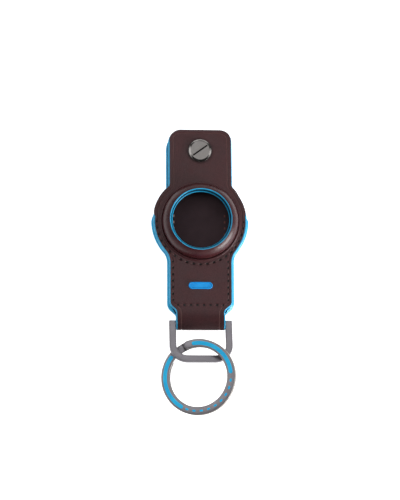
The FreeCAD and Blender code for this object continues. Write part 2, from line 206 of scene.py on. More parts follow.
def volumeOf(points, quads, caps):
    # signed volume of a closed shape, positive when its faces point outwards
    a, b, c, d = (points[quads[:, index]] for index in range(4))
    total = np.sum(a * np.cross(b, c)) + np.sum(a * np.cross(c, d))
    for cap in caps:
        ring = points[cap]
        total += np.sum(ring[0] * np.cross(ring[1:-1], ring[2:]))
    return total


def meshOf(name, points, quads, caps, material):
    # a closed mesh, turned so that its faces point outwards
    points = np.asarray(points, float).reshape(-1, 3)
    caps = [np.asarray(cap) for cap in caps]
    if volumeOf(points, quads, caps) < 0:
        quads = quads[:, ::-1]
        caps = [cap[::-1] for cap in caps]
    mesh = bpy.data.meshes.new(name)
    mesh.from_pydata((points * mm).tolist(), [], quads.tolist() + [cap.tolist() for cap in caps])
    mesh.materials.append(material)
    return mesh


def shadeSmooth(mesh, sharp):
    mesh.polygons.foreach_set("use_smooth", np.ones(len(mesh.polygons), bool))
    mesh.set_sharp_from_angle(angle=math.radians(sharp))


def addObject(name, data):
    made = bpy.data.objects.new(name, data)
    bpy.context.scene.collection.objects.link(made)
    return made


def addPiece(name, points, quads, caps, material, slot, nodes, body=None, sharp=40, marks=None):
    mesh = meshOf(name, points, quads, caps, material)
    shadeSmooth(mesh, sharp)
    for key, values in (marks or {}).items():
        layer = mesh.attributes.new(key, "FLOAT", "POINT")
        layer.data.foreach_set("value", np.asarray(values, np.float32).ravel())
    piece = addObject(name, mesh)
    if body:
        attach(piece, body)
    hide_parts(*nodes)
    print("made", name, len(quads), "quads")
    return piece


def shellOf(rings, closed=False):
    # rings: an array (steps, profile, 3) of closed profiles carried along a path, with caps if it is open
    steps, around = rings.shape[:2]
    ends = [] if closed else [np.arange(around)[::-1], (steps - 1) * around + np.arange(around)]
    return rings, gridQuads(steps, around, wrapRows=closed, wrapColumns=True), ends


def sweepPiece(name, rings, material, slot, nodes, closed=False, **more):
    return addPiece(name, *shellOf(rings, closed), material, slot, nodes, **more)


def joinShells(shells):
    # several closed shapes, each (points, quads, caps), as one
    points = []
    quads = []
    caps = []
    start = 0
    for shellPoints, shellQuads, shellCaps in shells:
        shellPoints = np.asarray(shellPoints, float).reshape(-1, 3)
        points.append(shellPoints)
        quads.append(shellQuads + start)
        caps += [cap + start for cap in shellCaps]
        start += len(shellPoints)
    return np.concatenate(points), np.concatenate(quads), caps


def lathe(profile, y=0.0, around=96):
    # (radius, level) turned about the upright line through (0, y): one ring for each point of the profile
    profile = np.asarray(profile, float)
    turn = np.linspace(0, 2 * math.pi, around, endpoint=False)
    radius = profile[:, :1]
    height = np.repeat(profile[:, 1:], around, axis=1)
    return np.dstack((radius * np.cos(turn), y + radius * np.sin(turn), height))


def stadium(halfLength, halfWidth, around=40):
    # round-ended strip along X: a circle of the half width whose halves are pulled apart
    turn = np.linspace(0, 2 * math.pi, around, endpoint=False) + math.pi / around
    shift = np.sign(np.cos(turn)) * (halfLength - halfWidth)
    return np.column_stack((halfWidth * np.cos(turn) + shift, halfWidth * np.sin(turn)))


def roundedBar(halfWidth, halfHeight, corner, steps=4):
    # section of a flat bar: a rectangle with round corners, as (across, up)
    turn = np.linspace(0, math.pi / 2, steps)
    quarter = np.column_stack((np.cos(turn), np.sin(turn))) * corner
    centre = np.array((halfWidth - corner, halfHeight - corner))
    turns = [((1, 1), 1), ((-1, 1), -1), ((-1, -1), 1), ((1, -1), -1)]
    return np.concatenate([(quarter[::order] + centre) * signs for signs, order in turns])


def cutAway(piece, rings, sharp=40):
    # takes a closed shape out of a piece and leaves no modifier behind
    cutter = addObject("cutter", meshOf("cutter", *shellOf(rings), piece.data.materials[0]))
    cut = piece.modifiers.new("cut", "BOOLEAN")
    cut.operation = "DIFFERENCE"
    cut.solver = "EXACT"
    cut.object = cutter
    result = bpy.data.meshes.new_from_object(piece.evaluated_get(bpy.context.evaluated_depsgraph_get()))
    piece.modifiers.remove(cut)
    piece.data = result
    shadeSmooth(result, sharp)
    bpy.data.objects.remove(cutter)


def drill(piece, radius, low, high):
    # a round hole on the screw's axis
    cutAway(piece, lathe([(radius, low), (radius, high)], screwY))


# Outline and fold
def outlineSide(end, grow=0.0, discGrow=0.0, lowerShoulder=0.0, cornerGrow=0.0):
    # the right half from the middle of the flap's top to the middle of the strap's end
    strapHalf = holder["strapHalf"]
    top = holder["flapTop"] + grow
    flapSide = holder["flapHalf"] + grow
    corner = holder["flapCorner"] + grow + cornerGrow
    bodySide = holder["bodyHalf"] + grow
    disc = holder["disc"] + discGrow
    upperHollow = holder["neck"] - grow
    lowerHollow = holder["lowerNeck"] - grow
    upperX = flapSide + upperHollow
    lowerX = bodySide + lowerHollow
    upper = np.array((upperX, math.sqrt((disc + upperHollow) ** 2 - upperX**2)))
    lower = np.array((lowerX, -math.sqrt((disc + lowerHollow) ** 2 - lowerX**2)))
    upperTurn = math.atan2(upper[1], upper[0])
    lowerTurn = math.atan2(lower[1], lower[0])
    slant = math.atan2(holder["bodyHalf"] - holder["strapHalf"], holder["shoulderDrop"])
    tangent = math.tan(slant / 2)
    outer = holder["shoulderRound"] + grow
    inner = holder["shoulderRound"] - grow
    kneeY = -holder["shoulderStart"] - lowerShoulder - grow * tangent
    footY = kneeY - (bodySide - strapHalf) / math.tan(slant)
    stretches = [
        np.array([(0, top)]),
        arcPoints((flapSide - corner, top - corner), corner, math.pi / 2, 0),
        arcPoints(upper, upperHollow, math.pi, math.pi + upperTurn),
        arcPoints((0, 0), disc, upperTurn, lowerTurn),
        arcPoints(lower, lowerHollow, math.pi + lowerTurn, math.pi),
        arcPoints((bodySide - outer, kneeY + outer * tangent), outer, 0, -slant),
        arcPoints((strapHalf + inner, footY - inner * tangent), inner, math.pi - slant, math.pi),
        np.array([(strapHalf, end), (0, end)]),
    ]
    return np.concatenate(stretches)


def widenRight(side):
    # the hand-cut flap and body reach a little further on their right, but not the disc or the strap
    x, y = side.T
    onBody = smooth(y, *zones["rightBody"]) * smooth(y, *zones["rightShoulder"])
    onSides = np.maximum(smooth(y, *zones["rightFlap"]), onBody)
    inNecks = bell(np.abs(y) - holder["neckAt"], holder["neckSpan"])
    grow = holder["rightGrow"] * onSides + holder["rightNeck"] * inNecks
    return side + np.column_stack((grow * smooth(x, *zones["rightHalf"]), np.zeros_like(y)))


def closedOutline(side, count):
    # the whole outline from its right half, clockwise, at equal steps
    whole = np.concatenate((widenRight(side), side[::-1][1:] * (-1, 1)))
    return resample(whole, count + 1)[:-1]


def easeStep(side):
    # across the bend the distance from the dome's axis runs smoothly
    # from the loose half's to the stitched half's
    y = side[:, 1]
    radius = np.hypot(*side.T)
    start = bendY + fold["stepAbove"]
    end = bendY - fold["stepBelow"]
    near = (y < start) & (y > end)
    first = radius[np.argmax(near) - 1]
    last = radius[len(near) - np.argmax(near[::-1])]
    eased = first + (last - first) * smooth(start - y, 0, start - end)
    return side * np.where(near, eased / radius, 1)[:, None]


def sewnShare(y):
    # 0 on the loose half, 1 where the layers are sewn together
    return smooth(-y, -bendY - fold["sewAbove"], -bendY + fold["sewBelow"])


def backOutlineTo(end, count):
    # the loose half's outline above the bend and the stitched half's below it, joined smoothly
    lowGrow = [stitched[key] for key in ("grow", "discGrow", "lowerShoulder")]
    highGrow = [loose[key] for key in ("grow", "discGrow", "lowerShoulder", "cornerGrow")]
    lowSide = outlineSide(end - stitched["rise"], *lowGrow) + (0, stitched["rise"])
    highSide = outlineSide(end, *highGrow) + (0, loose["rise"])
    lowSide = lowSide[lowSide[:, 1] < bendY - fold["gap"]]
    highSide = highSide[highSide[:, 1] > bendY + fold["gap"]]
    right = np.concatenate((highSide + (loose["shift"], 0), widenRight(lowSide)))
    left = np.concatenate((highSide * (-1, 1) + (loose["shift"], 0), lowSide * (-1, 1)))
    return resample(np.concatenate((easeStep(right), easeStep(left)[::-1][1:])), count + 1)[:-1]


def outwardNormals(outline, end):
    # on the strap's square end they point sideways and fade to its middle, and near the back's bend
    # they point away from the dome's axis, so that lines offset inwards never cross
    normal = normalsOf(outline, True)
    nearBend = np.abs(outline[:, 1] - bendY) < fold["bendReach"]
    normal[nearBend] = outline[nearBend] / np.linalg.norm(outline[nearBend], axis=1, keepdims=True)
    atEnd = outline[:, 1] < end + fold["endReach"]
    normal[atEnd] = outline[atEnd] * (1 / holder["strapHalf"], 0)
    return normal


def makeFoldPath():
    # the strap's middle line in Y and Z: level, up a ramp to the bar, half way round it, and level again
    radius = fold["inner"] + level["backTop"] / 2
    root = holder["strapRoot"] + fold["early"]
    run = root - fold["y"]
    rise = level["frontMiddle"] - fold["level"]
    touch = math.atan2(rise, run) + math.acos(radius / math.hypot(run, rise))
    around = arcPoints((fold["y"], fold["level"]), radius, touch, 1.5 * math.pi)
    lead = 6.0
    ends = [(root + lead, level["frontMiddle"]), (root, level["frontMiddle"])]
    line = np.concatenate((ends, around, [(fold["y"] + lead, level["backMiddle"])]))
    step = 0.02
    line = resample(line, int(lengthAlong(line)[-1] / step))
    reach = int(3 * fold["ease"] / step)
    weights = bell(np.arange(-reach, reach + 1) * step, fold["ease"] * math.sqrt(2))
    weights = weights / weights.sum()
    padded = np.concatenate((np.repeat(line[:1], reach, 0), line, np.repeat(line[-1:], reach, 0)))
    eased = np.column_stack([np.convolve(column, weights, "valid") for column in padded.T])
    return eased[reach:-reach]


foldLine = makeFoldPath()
foldRun = lengthAlong(foldLine)
ramp = len(foldLine) // 3  # the strap's root lies in the line's first third
foldRun = foldRun - np.interp(-holder["strapRoot"], -foldLine[:ramp, 0], foldRun[:ramp])
# the strap ends where the line comes back under the bar
lowest = len(foldLine) - 1 - np.argmax(foldLine[::-1, 0] < fold["y"])
foldLength = foldRun[lowest]
foldNormal = -normalsOf(foldLine, False)


def bendStrap(points):
    # points laid out flat; those below the strap's root are carried round the bar
    points = np.array(points, float)
    run = holder["strapRoot"] - points[..., 1]
    off = points[..., 2] - level["frontMiddle"]
    place = [np.interp(run, foldRun, foldLine[:, axis]) for axis in (0, 1)]
    lean = [np.interp(run, foldRun, foldNormal[:, axis]) for axis in (0, 1)]
    bent = run > foldRun[0]
    points[..., 1] = np.where(bent, place[0] + lean[0] * off, points[..., 1])
    points[..., 2] = np.where(bent, place[1] + lean[1] * off, points[..., 2])
    return points


print("strap runs", round(float(foldLength), 2), "mm round the bar")


# Stitches: the lines that they lie on, which the leather's creases and needle holes share
stitch = {
    "pitch": 3.0,
    "length": 2.56,
    "thread": 0.6,
    "sideGap": 3.9,
    "rootDrop": 0.3,
    "drift": 0.45,  # how far the row round the dome lies outside the creased line
    "hole": 0.42,
    "dot": 0.47,
    "dotShares": (1.5, 0.6),  # of the dot's squared radius: where it begins and where it is darkest
    "fade": 0.6,  # how far past a row's ends its dots fade
    "domeFade": (0.3, -0.1),  # and the Y between which the dome's row begins
}
stitch["line"] = holder["disc"] - holder["discInset"]
stitch["domeCount"] = int(math.pi * stitch["line"] / stitch["pitch"])
stitch["radius"] = stitch["line"] + stitch["drift"]
stitch["turnStep"] = math.pi / stitch["domeCount"]
stitch["sideX"] = spanOf("side_stitching", 0)[1] - stitch["thread"] / 2
stitch["sideTop"] = math.sqrt(stitch["line"] ** 2 - stitch["sideX"] ** 2) + stitch["sideGap"]
stitch["sideCount"] = int((holder["shoulderStart"] - stitch["sideTop"]) / stitch["pitch"])
stitch["sideEnd"] = stitch["sideTop"] + stitch["sideCount"] * stitch["pitch"]
stitch["rootY"] = -holder["shoulderStart"] - stitch["rootDrop"]
stitch["rootCount"] = int(2 * holder["strapHalf"] / stitch["pitch"])
stitch["rootEnd"] = stitch["rootCount"] * stitch["pitch"] / 2


def stitchRows():
    # each row is an array of (x, y, direction), one line for each stitch
    turn = math.pi + (np.arange(stitch["domeCount"]) + 0.5) * stitch["turnStep"]
    radius = stitch["radius"]
    around = np.column_stack((radius * np.cos(turn), radius * np.sin(turn), turn + math.pi / 2))
    y = -stitch["sideTop"] - (np.arange(stitch["sideCount"]) + 0.5) * stitch["pitch"]
    upright = np.full(len(y), math.pi / 2)
    sides = [np.column_stack((np.full(len(y), x), y, upright)) for x in (-stitch["sideX"], stitch["sideX"])]
    x = (np.arange(stitch["rootCount"]) + 0.5) * stitch["pitch"] - stitch["rootEnd"]
    root = np.column_stack((x, np.full(len(x), stitch["rootY"]), np.zeros(len(x))))
    return {"dome_stitching": around, "side_stitching": np.concatenate(sides), "root_stitching": root}


# Shaders
def tint(red, green, blue):
    # a colour as it looks on a screen, 0 to 255, turned into linear light
    parts = np.array((red, green, blue)) / 255
    linear = np.where(parts <= 0.04045, parts / 12.92, ((parts + 0.055) / 1.055) ** 2.4)
    return (*linear.tolist(), 1.0)


class Value:
    # a value in a shader: arithmetic on it adds Math nodes
    def __init__(self, look, socket):
        self.look = look
        self.socket = socket

    def join(self, operation, first, second):
        return self.look.node("Math", {"operation": operation}, {0: first, 1: second})

    def __add__(self, other):
        return self.join("ADD", self, other)

    def __radd__(self, other):
        return self.join("ADD", other, self)

    def __sub__(self, other):
        return self.join("SUBTRACT", self, other)

    def __rsub__(self, other):
        return self.join("SUBTRACT", other, self)

    def __mul__(self, other):
        return self.join("MULTIPLY", self, other)

    def __rmul__(self, other):
        return self.join("MULTIPLY", other, self)

    def __truediv__(self, other):
        return self.join("DIVIDE", self, other)

    def larger(self, other):
        return self.join("MAXIMUM", self, other)

    def offWhole(self):
        # distance to the nearest whole number
        return self.join("PINGPONG", self, 0.5)

    def size(self):
        return self.join("ABSOLUTE", self, 0)

    def root(self):
        return self.join("POWER", self, 0.5)

    def angleTo(self, other):
        return self.join("ARCTAN2", self, other)

    def ease(self, low, high, start=0.0, end=1.0):
        ends = {"From Min": low, "From Max": high, "To Min": start, "To Max": end}
        return self.look.node("MapRange", {"interpolation_type": "SMOOTHSTEP"}, {"Value": self, **ends})


class Look:
    # a material: node() adds a node of any type, with its settings first and then its sockets
    def __init__(self, name, uniform):
        self.material = bpy.data.materials.new(name)
        self.material.use_nodes = True
        self.tree = self.material.node_tree
        self.surface = self.tree.nodes["Principled BSDF"]
        for key, value in uniform.items():
            self.surface.inputs[key].default_value = value
        self.place = self.node("TexCoord", {}, {}, "Object")

    def node(self, kind, settings, sockets, out=0):
        made = self.tree.nodes.new("ShaderNode" + kind)
        for key, value in settings.items():
            setattr(made, key, value)
        for key, value in sockets.items():
            self.plug(made.inputs[key], value)
        return Value(self, made.outputs[out])

    def plug(self, socket, value):
        if isinstance(value, Value):
            self.tree.links.new(value.socket, socket)
        else:
            socket.default_value = value

    def noise(self, scale, detail=2.0, stretch=(1, 1, 1), turn=0.0):
        turned = {"Vector": self.place, "Rotation": (0, 0, turn)}
        where = self.node("Mapping", {}, turned)
        where = self.node("Mapping", {}, {"Vector": where, "Scale": stretch})
        return self.node("TexNoise", {}, {"Vector": where, "Scale": scale, "Detail": detail})

    def cells(self, scale):
        sockets = {"Vector": self.place, "Scale": scale, "Smoothness": 0.4}
        return self.node("TexVoronoi", {"feature": "SMOOTH_F1"}, sockets)

    def where(self):
        # the place on the object in millimetres
        parts = self.node("SeparateXYZ", {}, {0: self.place}).socket.node.outputs
        return [Value(self, parts[axis]) / mm for axis in range(3)]

    def mark(self, name):
        return self.node("Attribute", {"attribute_name": name}, {}, "Fac")

    def mix(self, factor, first, second):
        return self.node("Mix", {"data_type": "RGBA"}, {0: factor, 6: first, 7: second}, 2)

    def dress(self, sockets):
        for key, value in sockets.items():
            self.plug(self.surface.inputs[key], value)

    def finish(self, colour, roughness, height, depth, coat=0.0):
        # depth: of the bump that height makes, in millimetres
        normal = self.node("Bump", {}, {"Strength": 1.0, "Distance": depth * mm, "Height": height})
        self.dress({"Base Color": colour, "Roughness": roughness, "Coat Weight": coat, "Normal": normal})
        return self.material


leather = {
    "dark": tint(44, 15, 17),
    "middle": tint(58, 24, 28),
    "light": tint(69, 32, 35),
    # painted shade tone for the creases, the needle holes, the strap's fold and the ring round the screw
    "crease": tint(12, 4, 4),
    # pale tone of the creased lines: partly wear, partly painted highlight
    "wearAndPaintedHighlight": tint(92, 62, 60),
    "grainSize": 0.42,  # millimetres across a pebble
    "patchSize": 6.0,
    "grainDepth": 0.035,
    "grainTone": 0.4,  # how much darker the grain's pits are
    "wearAndHighlightShare": 0.5,
    "gloss": (0.34, 0.44),
    "polish": 0.13,  # how much smoother the dome is
    "dulling": 0.4,  # how much rougher the bent strap is, and how much flatter its grain
    "flattening": 0.3,
}


def needleHoles(look):
    # painted shade: dark dots where the stitches meet, standing for the shade in the needle holes; the
    # distance to the nearest hole of a row, from along and across it
    x, y = look.where()[:2]
    turn = y.angleTo(x) * (1 / stitch["turnStep"])
    radius = (x * x + y * y).root()
    sideRun = (y + stitch["sideTop"]) / stitch["pitch"]
    rootRun = x / stitch["pitch"] + 0.5
    top = -stitch["sideTop"]
    low = -stitch["sideEnd"]
    fade = stitch["fade"]
    inDome = y.ease(*stitch["domeFade"])
    inSide = y.ease(top + fade, top) * y.ease(low - fade, low)
    inRoot = x.size().ease(stitch["rootEnd"] + fade, stitch["rootEnd"])
    lines = [
        (turn.offWhole() * (stitch["turnStep"] * stitch["radius"]), radius - stitch["radius"], inDome),
        (sideRun.offWhole() * stitch["pitch"], x.size() - stitch["sideX"], inSide),
        (rootRun.offWhole() * stitch["pitch"], y - stitch["rootY"], inRoot),
    ]
    begin, full = (share * stitch["dot"] ** 2 for share in stitch["dotShares"])
    dots = 0.0
    for along, across, inside in lines:
        near = (along * along + across * across).ease(begin, full) * inside
        dots = near.larger(dots)
    return dots


def leatherLook():
    # pebbled grain with pores and broad and fine mottling; painted shade darkens the marked creases and the
    # needle holes, which are also rougher, and pale creased lines are partly wear and partly painted highlight
    look = Look("leather", {"Specular IOR Level": 0.36})
    pebbles = look.cells(1 / (leather["grainSize"] * mm))
    pores = look.noise(2 / (leather["grainSize"] * mm), 3)
    patches = look.noise(1 / (leather["patchSize"] * mm), 4)
    clouds = look.noise(0.2 / (leather["patchSize"] * mm), 2)
    crease = look.mark("crease").larger(needleHoles(look))
    mottle = (patches * 0.6 + clouds * 0.4).ease(0.35, 0.65)
    colour = look.mix(mottle, leather["middle"], leather["light"])
    colour = look.mix(pebbles.ease(0.25, 0.75) * leather["grainTone"], colour, leather["dark"])
    # the creased lines turn pale: partly wear, partly painted highlight
    colour = look.mix(look.mark("wearAndPaintedHighlight") * leather["wearAndHighlightShare"], colour, leather["wearAndPaintedHighlight"])
    # painted shade: the crease mark and the needle holes' dots darken the colour
    colour = look.mix(crease.ease(0.0, 1.0), colour, leather["crease"])
    dull = look.mark("dull")
    roughness = patches.ease(0.3, 0.7, *leather["gloss"]) + pebbles * 0.08 + crease * 0.1
    roughness = roughness - look.mark("polished") * leather["polish"] + dull * leather["dulling"]
    height = (pores * 0.3 - pebbles) * (1 - dull * leather["flattening"])
    return look.finish(colour, roughness, height, leather["grainDepth"])


lining = {
    "dark": tint(34, 22, 25),
    "light": tint(72, 54, 59),
    "napSize": 0.3,
    "napDepth": 0.04,
    "patchScale": 180.0,  # patches to the metre
    "gloss": (0.65, 0.9),
    "seam": 11.8,  # from the pocket's middle to the row of pale stitches on each side
    "seamShift": 0.4,
    "seamPitch": 2.9,
    "seamMiddle": 1.5,
    "seamRun": (5.6, 5.0),  # how far the rows run from there: their last trace, and where they are full
    "seamWidth": (0.5, 0.2),
    "seamLength": (0.75, 0.35),
    "seamTone": 0.8,
    "seamLit": tint(196, 176, 170),
    "seamShaded": tint(112, 72, 66),
}


def liningLook():
    # dull dark lining with a short nap, and two rows of pale stitches: the left row painted lit and the right
    # row painted in shade
    look = Look("lining", {"Specular IOR Level": 0.2, "Sheen Weight": 0.15})
    nap = look.noise(1 / (lining["napSize"] * mm), 4)
    patches = look.noise(lining["patchScale"], 3)
    colour = look.mix(nap * 0.5 + patches * 0.5, lining["dark"], lining["light"])
    x, y = look.where()[:2]
    across = (x + lining["seamShift"]).size() - lining["seam"]
    along = (y / lining["seamPitch"]).offWhole() * lining["seamPitch"]
    inRow = (y + lining["seamMiddle"]).size().ease(*lining["seamRun"])
    seam = across.size().ease(*lining["seamWidth"]) * along.ease(*lining["seamLength"]) * inRow
    # painted light: the left row's stitches lit, the right row's in painted shade
    seamTone = look.mix(x.ease(-5, 5), lining["seamLit"], lining["seamShaded"])
    colour = look.mix(seam * lining["seamTone"], colour, seamTone)
    roughness = nap.ease(0.2, 0.8, *lining["gloss"])
    return look.finish(colour, roughness, nap, lining["napDepth"])


paint = {
    "deep": tint(26, 149, 196),
    "light": tint(42, 167, 211),
    # tone of the painted shade on the window's wall and on the back's lap
    "hollow": tint(3, 44, 66),
    "waveSize": 1.6,
    "waveDepth": 0.03,
    "speckScale": 3200.0,
    "gloss": (0.26, 0.42),
    "coat": (0.05, 0.2),
}


def paintLook():
    # thick glossy edge paint, brushed on by hand, so its tone and its surface wander a little
    look = Look("edge paint", {"Specular IOR Level": 0.3, "Coat Roughness": 0.12})
    waves = look.noise(1 / (paint["waveSize"] * mm), 3)
    specks = look.noise(paint["speckScale"], 2)
    tone = (waves * 0.95 + specks * 0.05).ease(0.2, 0.8)
    colour = look.mix(tone, paint["deep"], paint["light"])
    # painted shade where the crease mark is set
    colour = look.mix(look.mark("crease"), colour, paint["hollow"])
    roughness = waves.ease(0.3, 0.7, *paint["gloss"])
    coat = waves.ease(0.2, 0.8, *paint["coat"])
    return look.finish(colour, roughness, waves + specks * 0.1, paint["waveDepth"], coat)


plastic = {
    "dark": tint(20, 11, 11),
    "light": tint(40, 26, 25),
    "textureScale": 2600.0,
    "streakScale": 120.0,
    "depth": 0.03,
    "gloss": (0.45, 0.62),
}


def plasticLook():
    # moulded dark backing ring with a faint mould texture
    look = Look("inner ring", {"Specular IOR Level": 0.35})
    texture = look.noise(plastic["textureScale"], 2)
    streaks = look.noise(plastic["streakScale"], 3)
    colour = look.mix(texture * 0.4 + streaks * 0.6, plastic["dark"], plastic["light"])
    roughness = streaks.ease(0.3, 0.7, *plastic["gloss"])
    return look.finish(colour, roughness, texture, plastic["depth"])


waxed = {
    "dark": tint(38, 18, 19),
    "light": tint(98, 64, 62),
    "paintedHoleShade": tint(6, 2, 2),
    "fibreScale": 5200.0,
    "patchScale": 260.0,
    "depth": 0.04,
    "gloss": (0.35, 0.6),
}


def threadLook():
    # waxed thread: dark, with paler fibres along the twist, and its ends darkened as painted shade where they
    # dive into the needle holes
    look = Look("thread", {"Specular IOR Level": 0.4})
    fibres = look.noise(waxed["fibreScale"], 3)
    patches = look.noise(waxed["patchScale"], 2)
    colour = look.mix(fibres * 0.6 + patches * 0.4, waxed["dark"], waxed["light"])
    colour = look.mix(look.mark("crease"), colour, waxed["paintedHoleShade"])
    roughness = fibres.ease(0.2, 0.8, *waxed["gloss"])
    return look.finish(colour, roughness, fibres, waxed["depth"])


nickel = {
    "dark": tint(110, 107, 105),
    "light": tint(146, 142, 140),
    # painted shade on the slot's floor
    "slot": tint(16, 13, 12),
    "slotShade": 0.93,
    "lineScale": 900.0,
    "lineStretch": (1, 14, 4),
    "brush": 20.0,  # degrees that the brushed lines lean
    "blotchScale": 300.0,
    "depth": 0.02,
    "gloss": (0.3, 0.44),
    "polish": 0.75,  # how much of its roughness the bevel loses
}


def screwLook():
    # nickel brushed across the head, with fine lines and soft blotches, and painted shade on the slot's floor
    look = Look("brushed nickel", {"Metallic": 1.0})
    lines = look.noise(nickel["lineScale"], 4, nickel["lineStretch"], math.radians(nickel["brush"]))
    blotches = look.noise(nickel["blotchScale"], 3)
    colour = look.mix(lines * 0.6 + blotches * 0.4, nickel["dark"], nickel["light"])
    # painted shade on the slot's floor
    colour = look.mix(look.mark("crease") * nickel["slotShade"], colour, nickel["slot"])
    roughness = lines.ease(0.25, 0.75, *nickel["gloss"]) + blotches * 0.06
    roughness = roughness * (1 - look.mark("polished") * nickel["polish"])
    return look.finish(colour, roughness, lines, nickel["depth"])


gunmetal = {
    "dark": tint(119, 116, 121),
    "light": tint(144, 141, 146),
    # tone of the painted highlight on the ring's corners and the under coil's outer wall
    "paintedHighlight": tint(186, 180, 173),
    # painted shade in the crevices and on the walls
    "crevice": tint(10, 9, 9),
    "grainScale": 5200.0,
    "blotchScale": 160.0,
    "depth": 0.01,
    "gloss": (0.34, 0.44),
}


def ringLook():
    # satin gunmetal plating with a fine tumbled texture; marked corners turn pale as a painted highlight, and
    # marked crevices and walls turn dark as painted shade
    look = Look("gunmetal", {"Metallic": 1.0})
    grain = look.noise(gunmetal["grainScale"], 3)
    blotches = look.noise(gunmetal["blotchScale"], 4)
    colour = look.mix(grain * 0.4 + blotches * 0.6, gunmetal["dark"], gunmetal["light"])
    # painted highlight: the marked corners and walls turn pale
    colour = look.mix(look.mark("wearAndPaintedHighlight"), colour, gunmetal["paintedHighlight"])
    # painted shade in the marked crevices and walls
    colour = look.mix(look.mark("crease"), colour, gunmetal["crevice"])
    roughness = blotches.ease(0.3, 0.7, *gunmetal["gloss"]) + grain * 0.06
    return look.finish(colour, roughness, grain, gunmetal["depth"])


poured = {"driftScale": 220.0, "skinScale": 1500.0, "depth": 0.01, "coat": (0.04, 0.12)}
enamelTone = {"deep": tint(0, 186, 246), "light": tint(6, 202, 255), "gloss": (0.28, 0.4)}
badgeTone = {"deep": tint(0, 138, 220), "light": tint(12, 158, 236), "gloss": (0.36, 0.5)}


def enamelLook(name, deep, light, gloss):
    # poured colour: nearly even, with a slow drift of tone and a soft skin
    look = Look(name, {"Specular IOR Level": 0.22, "Coat Roughness": 0.1})
    drift = look.noise(poured["driftScale"], 3)
    skin = look.noise(poured["skinScale"], 2)
    colour = look.mix((drift * 0.8 + skin * 0.2).ease(0.3, 0.7), deep, light)
    coat = drift.ease(0.2, 0.8, *poured["coat"])
    roughness = skin.ease(0.3, 0.7, *gloss)
    return look.finish(colour, roughness, skin, poured["depth"], coat)


leatherStuff = leatherLook()
liningStuff = liningLook()
paintStuff = paintLook()
plasticStuff = plasticLook()
threadStuff = threadLook()
screwStuff = screwLook()
ringStuff = ringLook()
enamelStuff = enamelLook("enamel", **enamelTone)
badgeStuff = enamelLook("badge", **badgeTone)
print("finishes made")


rows = stitchRows()
allStitches = np.concatenate(list(rows.values()))
halfStitch = stitch["length"] / 2 * np.column_stack((np.cos(allStitches[:, 2]), np.sin(allStitches[:, 2])))
stitchHoles = np.concatenate((allStitches[:, :2] - halfStitch, allStitches[:, :2] + halfStitch))


def nearHoles(flat):
    # 1 at the nearest needle hole, falling off as a bell
    apart = np.linalg.norm(flat[:, None, :] - stitchHoles[None, :, :], axis=2)
    return bell(apart.min(axis=1), stitch["hole"])


def sheetRings(edge, normal, insets, circle, count):
    # a sheet's rings from its edge inwards: lines at even distances from the outline, then rays to a circle
    offsets = edge[None] - normal[None] * np.asarray(insets)[:, None, None]
    last = offsets[-1]
    direction = last / np.linalg.norm(last, axis=1, keepdims=True)
    crowding = 1.4  # brings the rings closer together near the circle
    t = 1 - (1 - np.linspace(0, 1, count + 1)[1:, None, None]) ** crowding
    return np.concatenate((offsets, last * (1 - t) + direction * circle * t))


# Front leather, with the moulded dome and the strap's fold
front = {
    "around": 480,
    "rays": 84,
    "underRays": 43,
    "edgeRound": 0.3,
    "squareEnd": (0.5, 0.3),  # how near its end the strap's edge turns square, and over which length
    "overhang": 0.3,  # how far the loose half's leather stands over its edge
    "flapShare": 0.5,  # how much of that the flap's sides lose
    "discLeft": 0.5,  # and how much further it stands on the disc's upper left
    "creaseDepth": 0.17,
    "creaseWidth": 0.27,
    "holeDepth": 0.4,
    "screwPress": 0.1,
    "pressRadius": 5.5,
    "pressWidth": 0.7,
    # painted shadow round the screw's head, as a share of the press
    "pressShade": 0.5,
    "screwHole": 2.7,
    "wave": 0.05,
    "waveRuns": (5.1, 6.3),
    "wavePhase": 0.8,
    "waveRings": 12,  # over how many rings inside the creased line the waves grow
    "waveClear": (6.0, 9.0),  # and over which distance from the screw
    # painted shade over the strap's fold
    "bendShades": [(0.2, -2.0, 3.0), (0.28, 2.5, 5.5)],  # strength, start and end along the strap
    "bendEnd": (7.5, 10.0),
    "dullRun": (-2.5, 2.5),
    # how strongly the strap's creased lines turn pale: partly wear, partly painted highlight
    "strapWearAndHighlight": 1.8,
    "underInsets": [0.0, 0.3, 2.0],
    "underGap": 0.3,  # between the underside's innermost ring and the dome's hollow
}
windowRadius = spanOf("window_edge_paint", 0)[1]
dome = {
    "foot": 17.42,
    "welt": 0.36,  # height of the rounded welt round the dome's foot
    "ringOuter": 16.85,
    "lip": windowRadius,
    "rim": windowRadius - 1.0,
    "leatherLip": windowRadius - 0.35,
    "lipUnder": level["lip"] - 0.9,
    "bulge": 1.3,
    "insideBulge": 0.9,
    "weltSteps": 8,
    "wallSteps": 30,
    "insideSteps": 10,
    "apron": 18.8,  # where the flat panel begins
    # crease inside the welt: radius past the foot, and level
    "valley": [(-0.02, -0.05), (-0.06, 0.02), (-0.08, 0.2)],
    # painted shade in the crease round the dome's foot
    "footShade": 0.8,
    "footShadeWidth": 0.16,
    "footShadeTop": 0.5,
}
frontEnd = holder["strapRoot"] - foldLength
frontOutline = closedOutline(outlineSide(frontEnd), front["around"])
frontNormal = outwardNormals(frontOutline, frontEnd)
sewnFront = sewnShare(frontOutline[:, 1])
frontX, frontY = frontOutline.T
onFlapSide = smooth(frontY, *zones["flapSide"]) * smooth(holder["flapTop"] - frontY, *zones["flapCorner"])
onDiscLeft = smooth(frontX, *zones["leftHalf"]) * smooth(frontY, *zones["discUpper"]) * (1 - onFlapSide)
leatherGrow = front["overhang"] * (1 - sewnFront) * (1 - front["flapShare"] * onFlapSide)
leatherGrow = leatherGrow + front["discLeft"] * onDiscLeft
leatherOutline = frontOutline + frontNormal * leatherGrow[:, None]
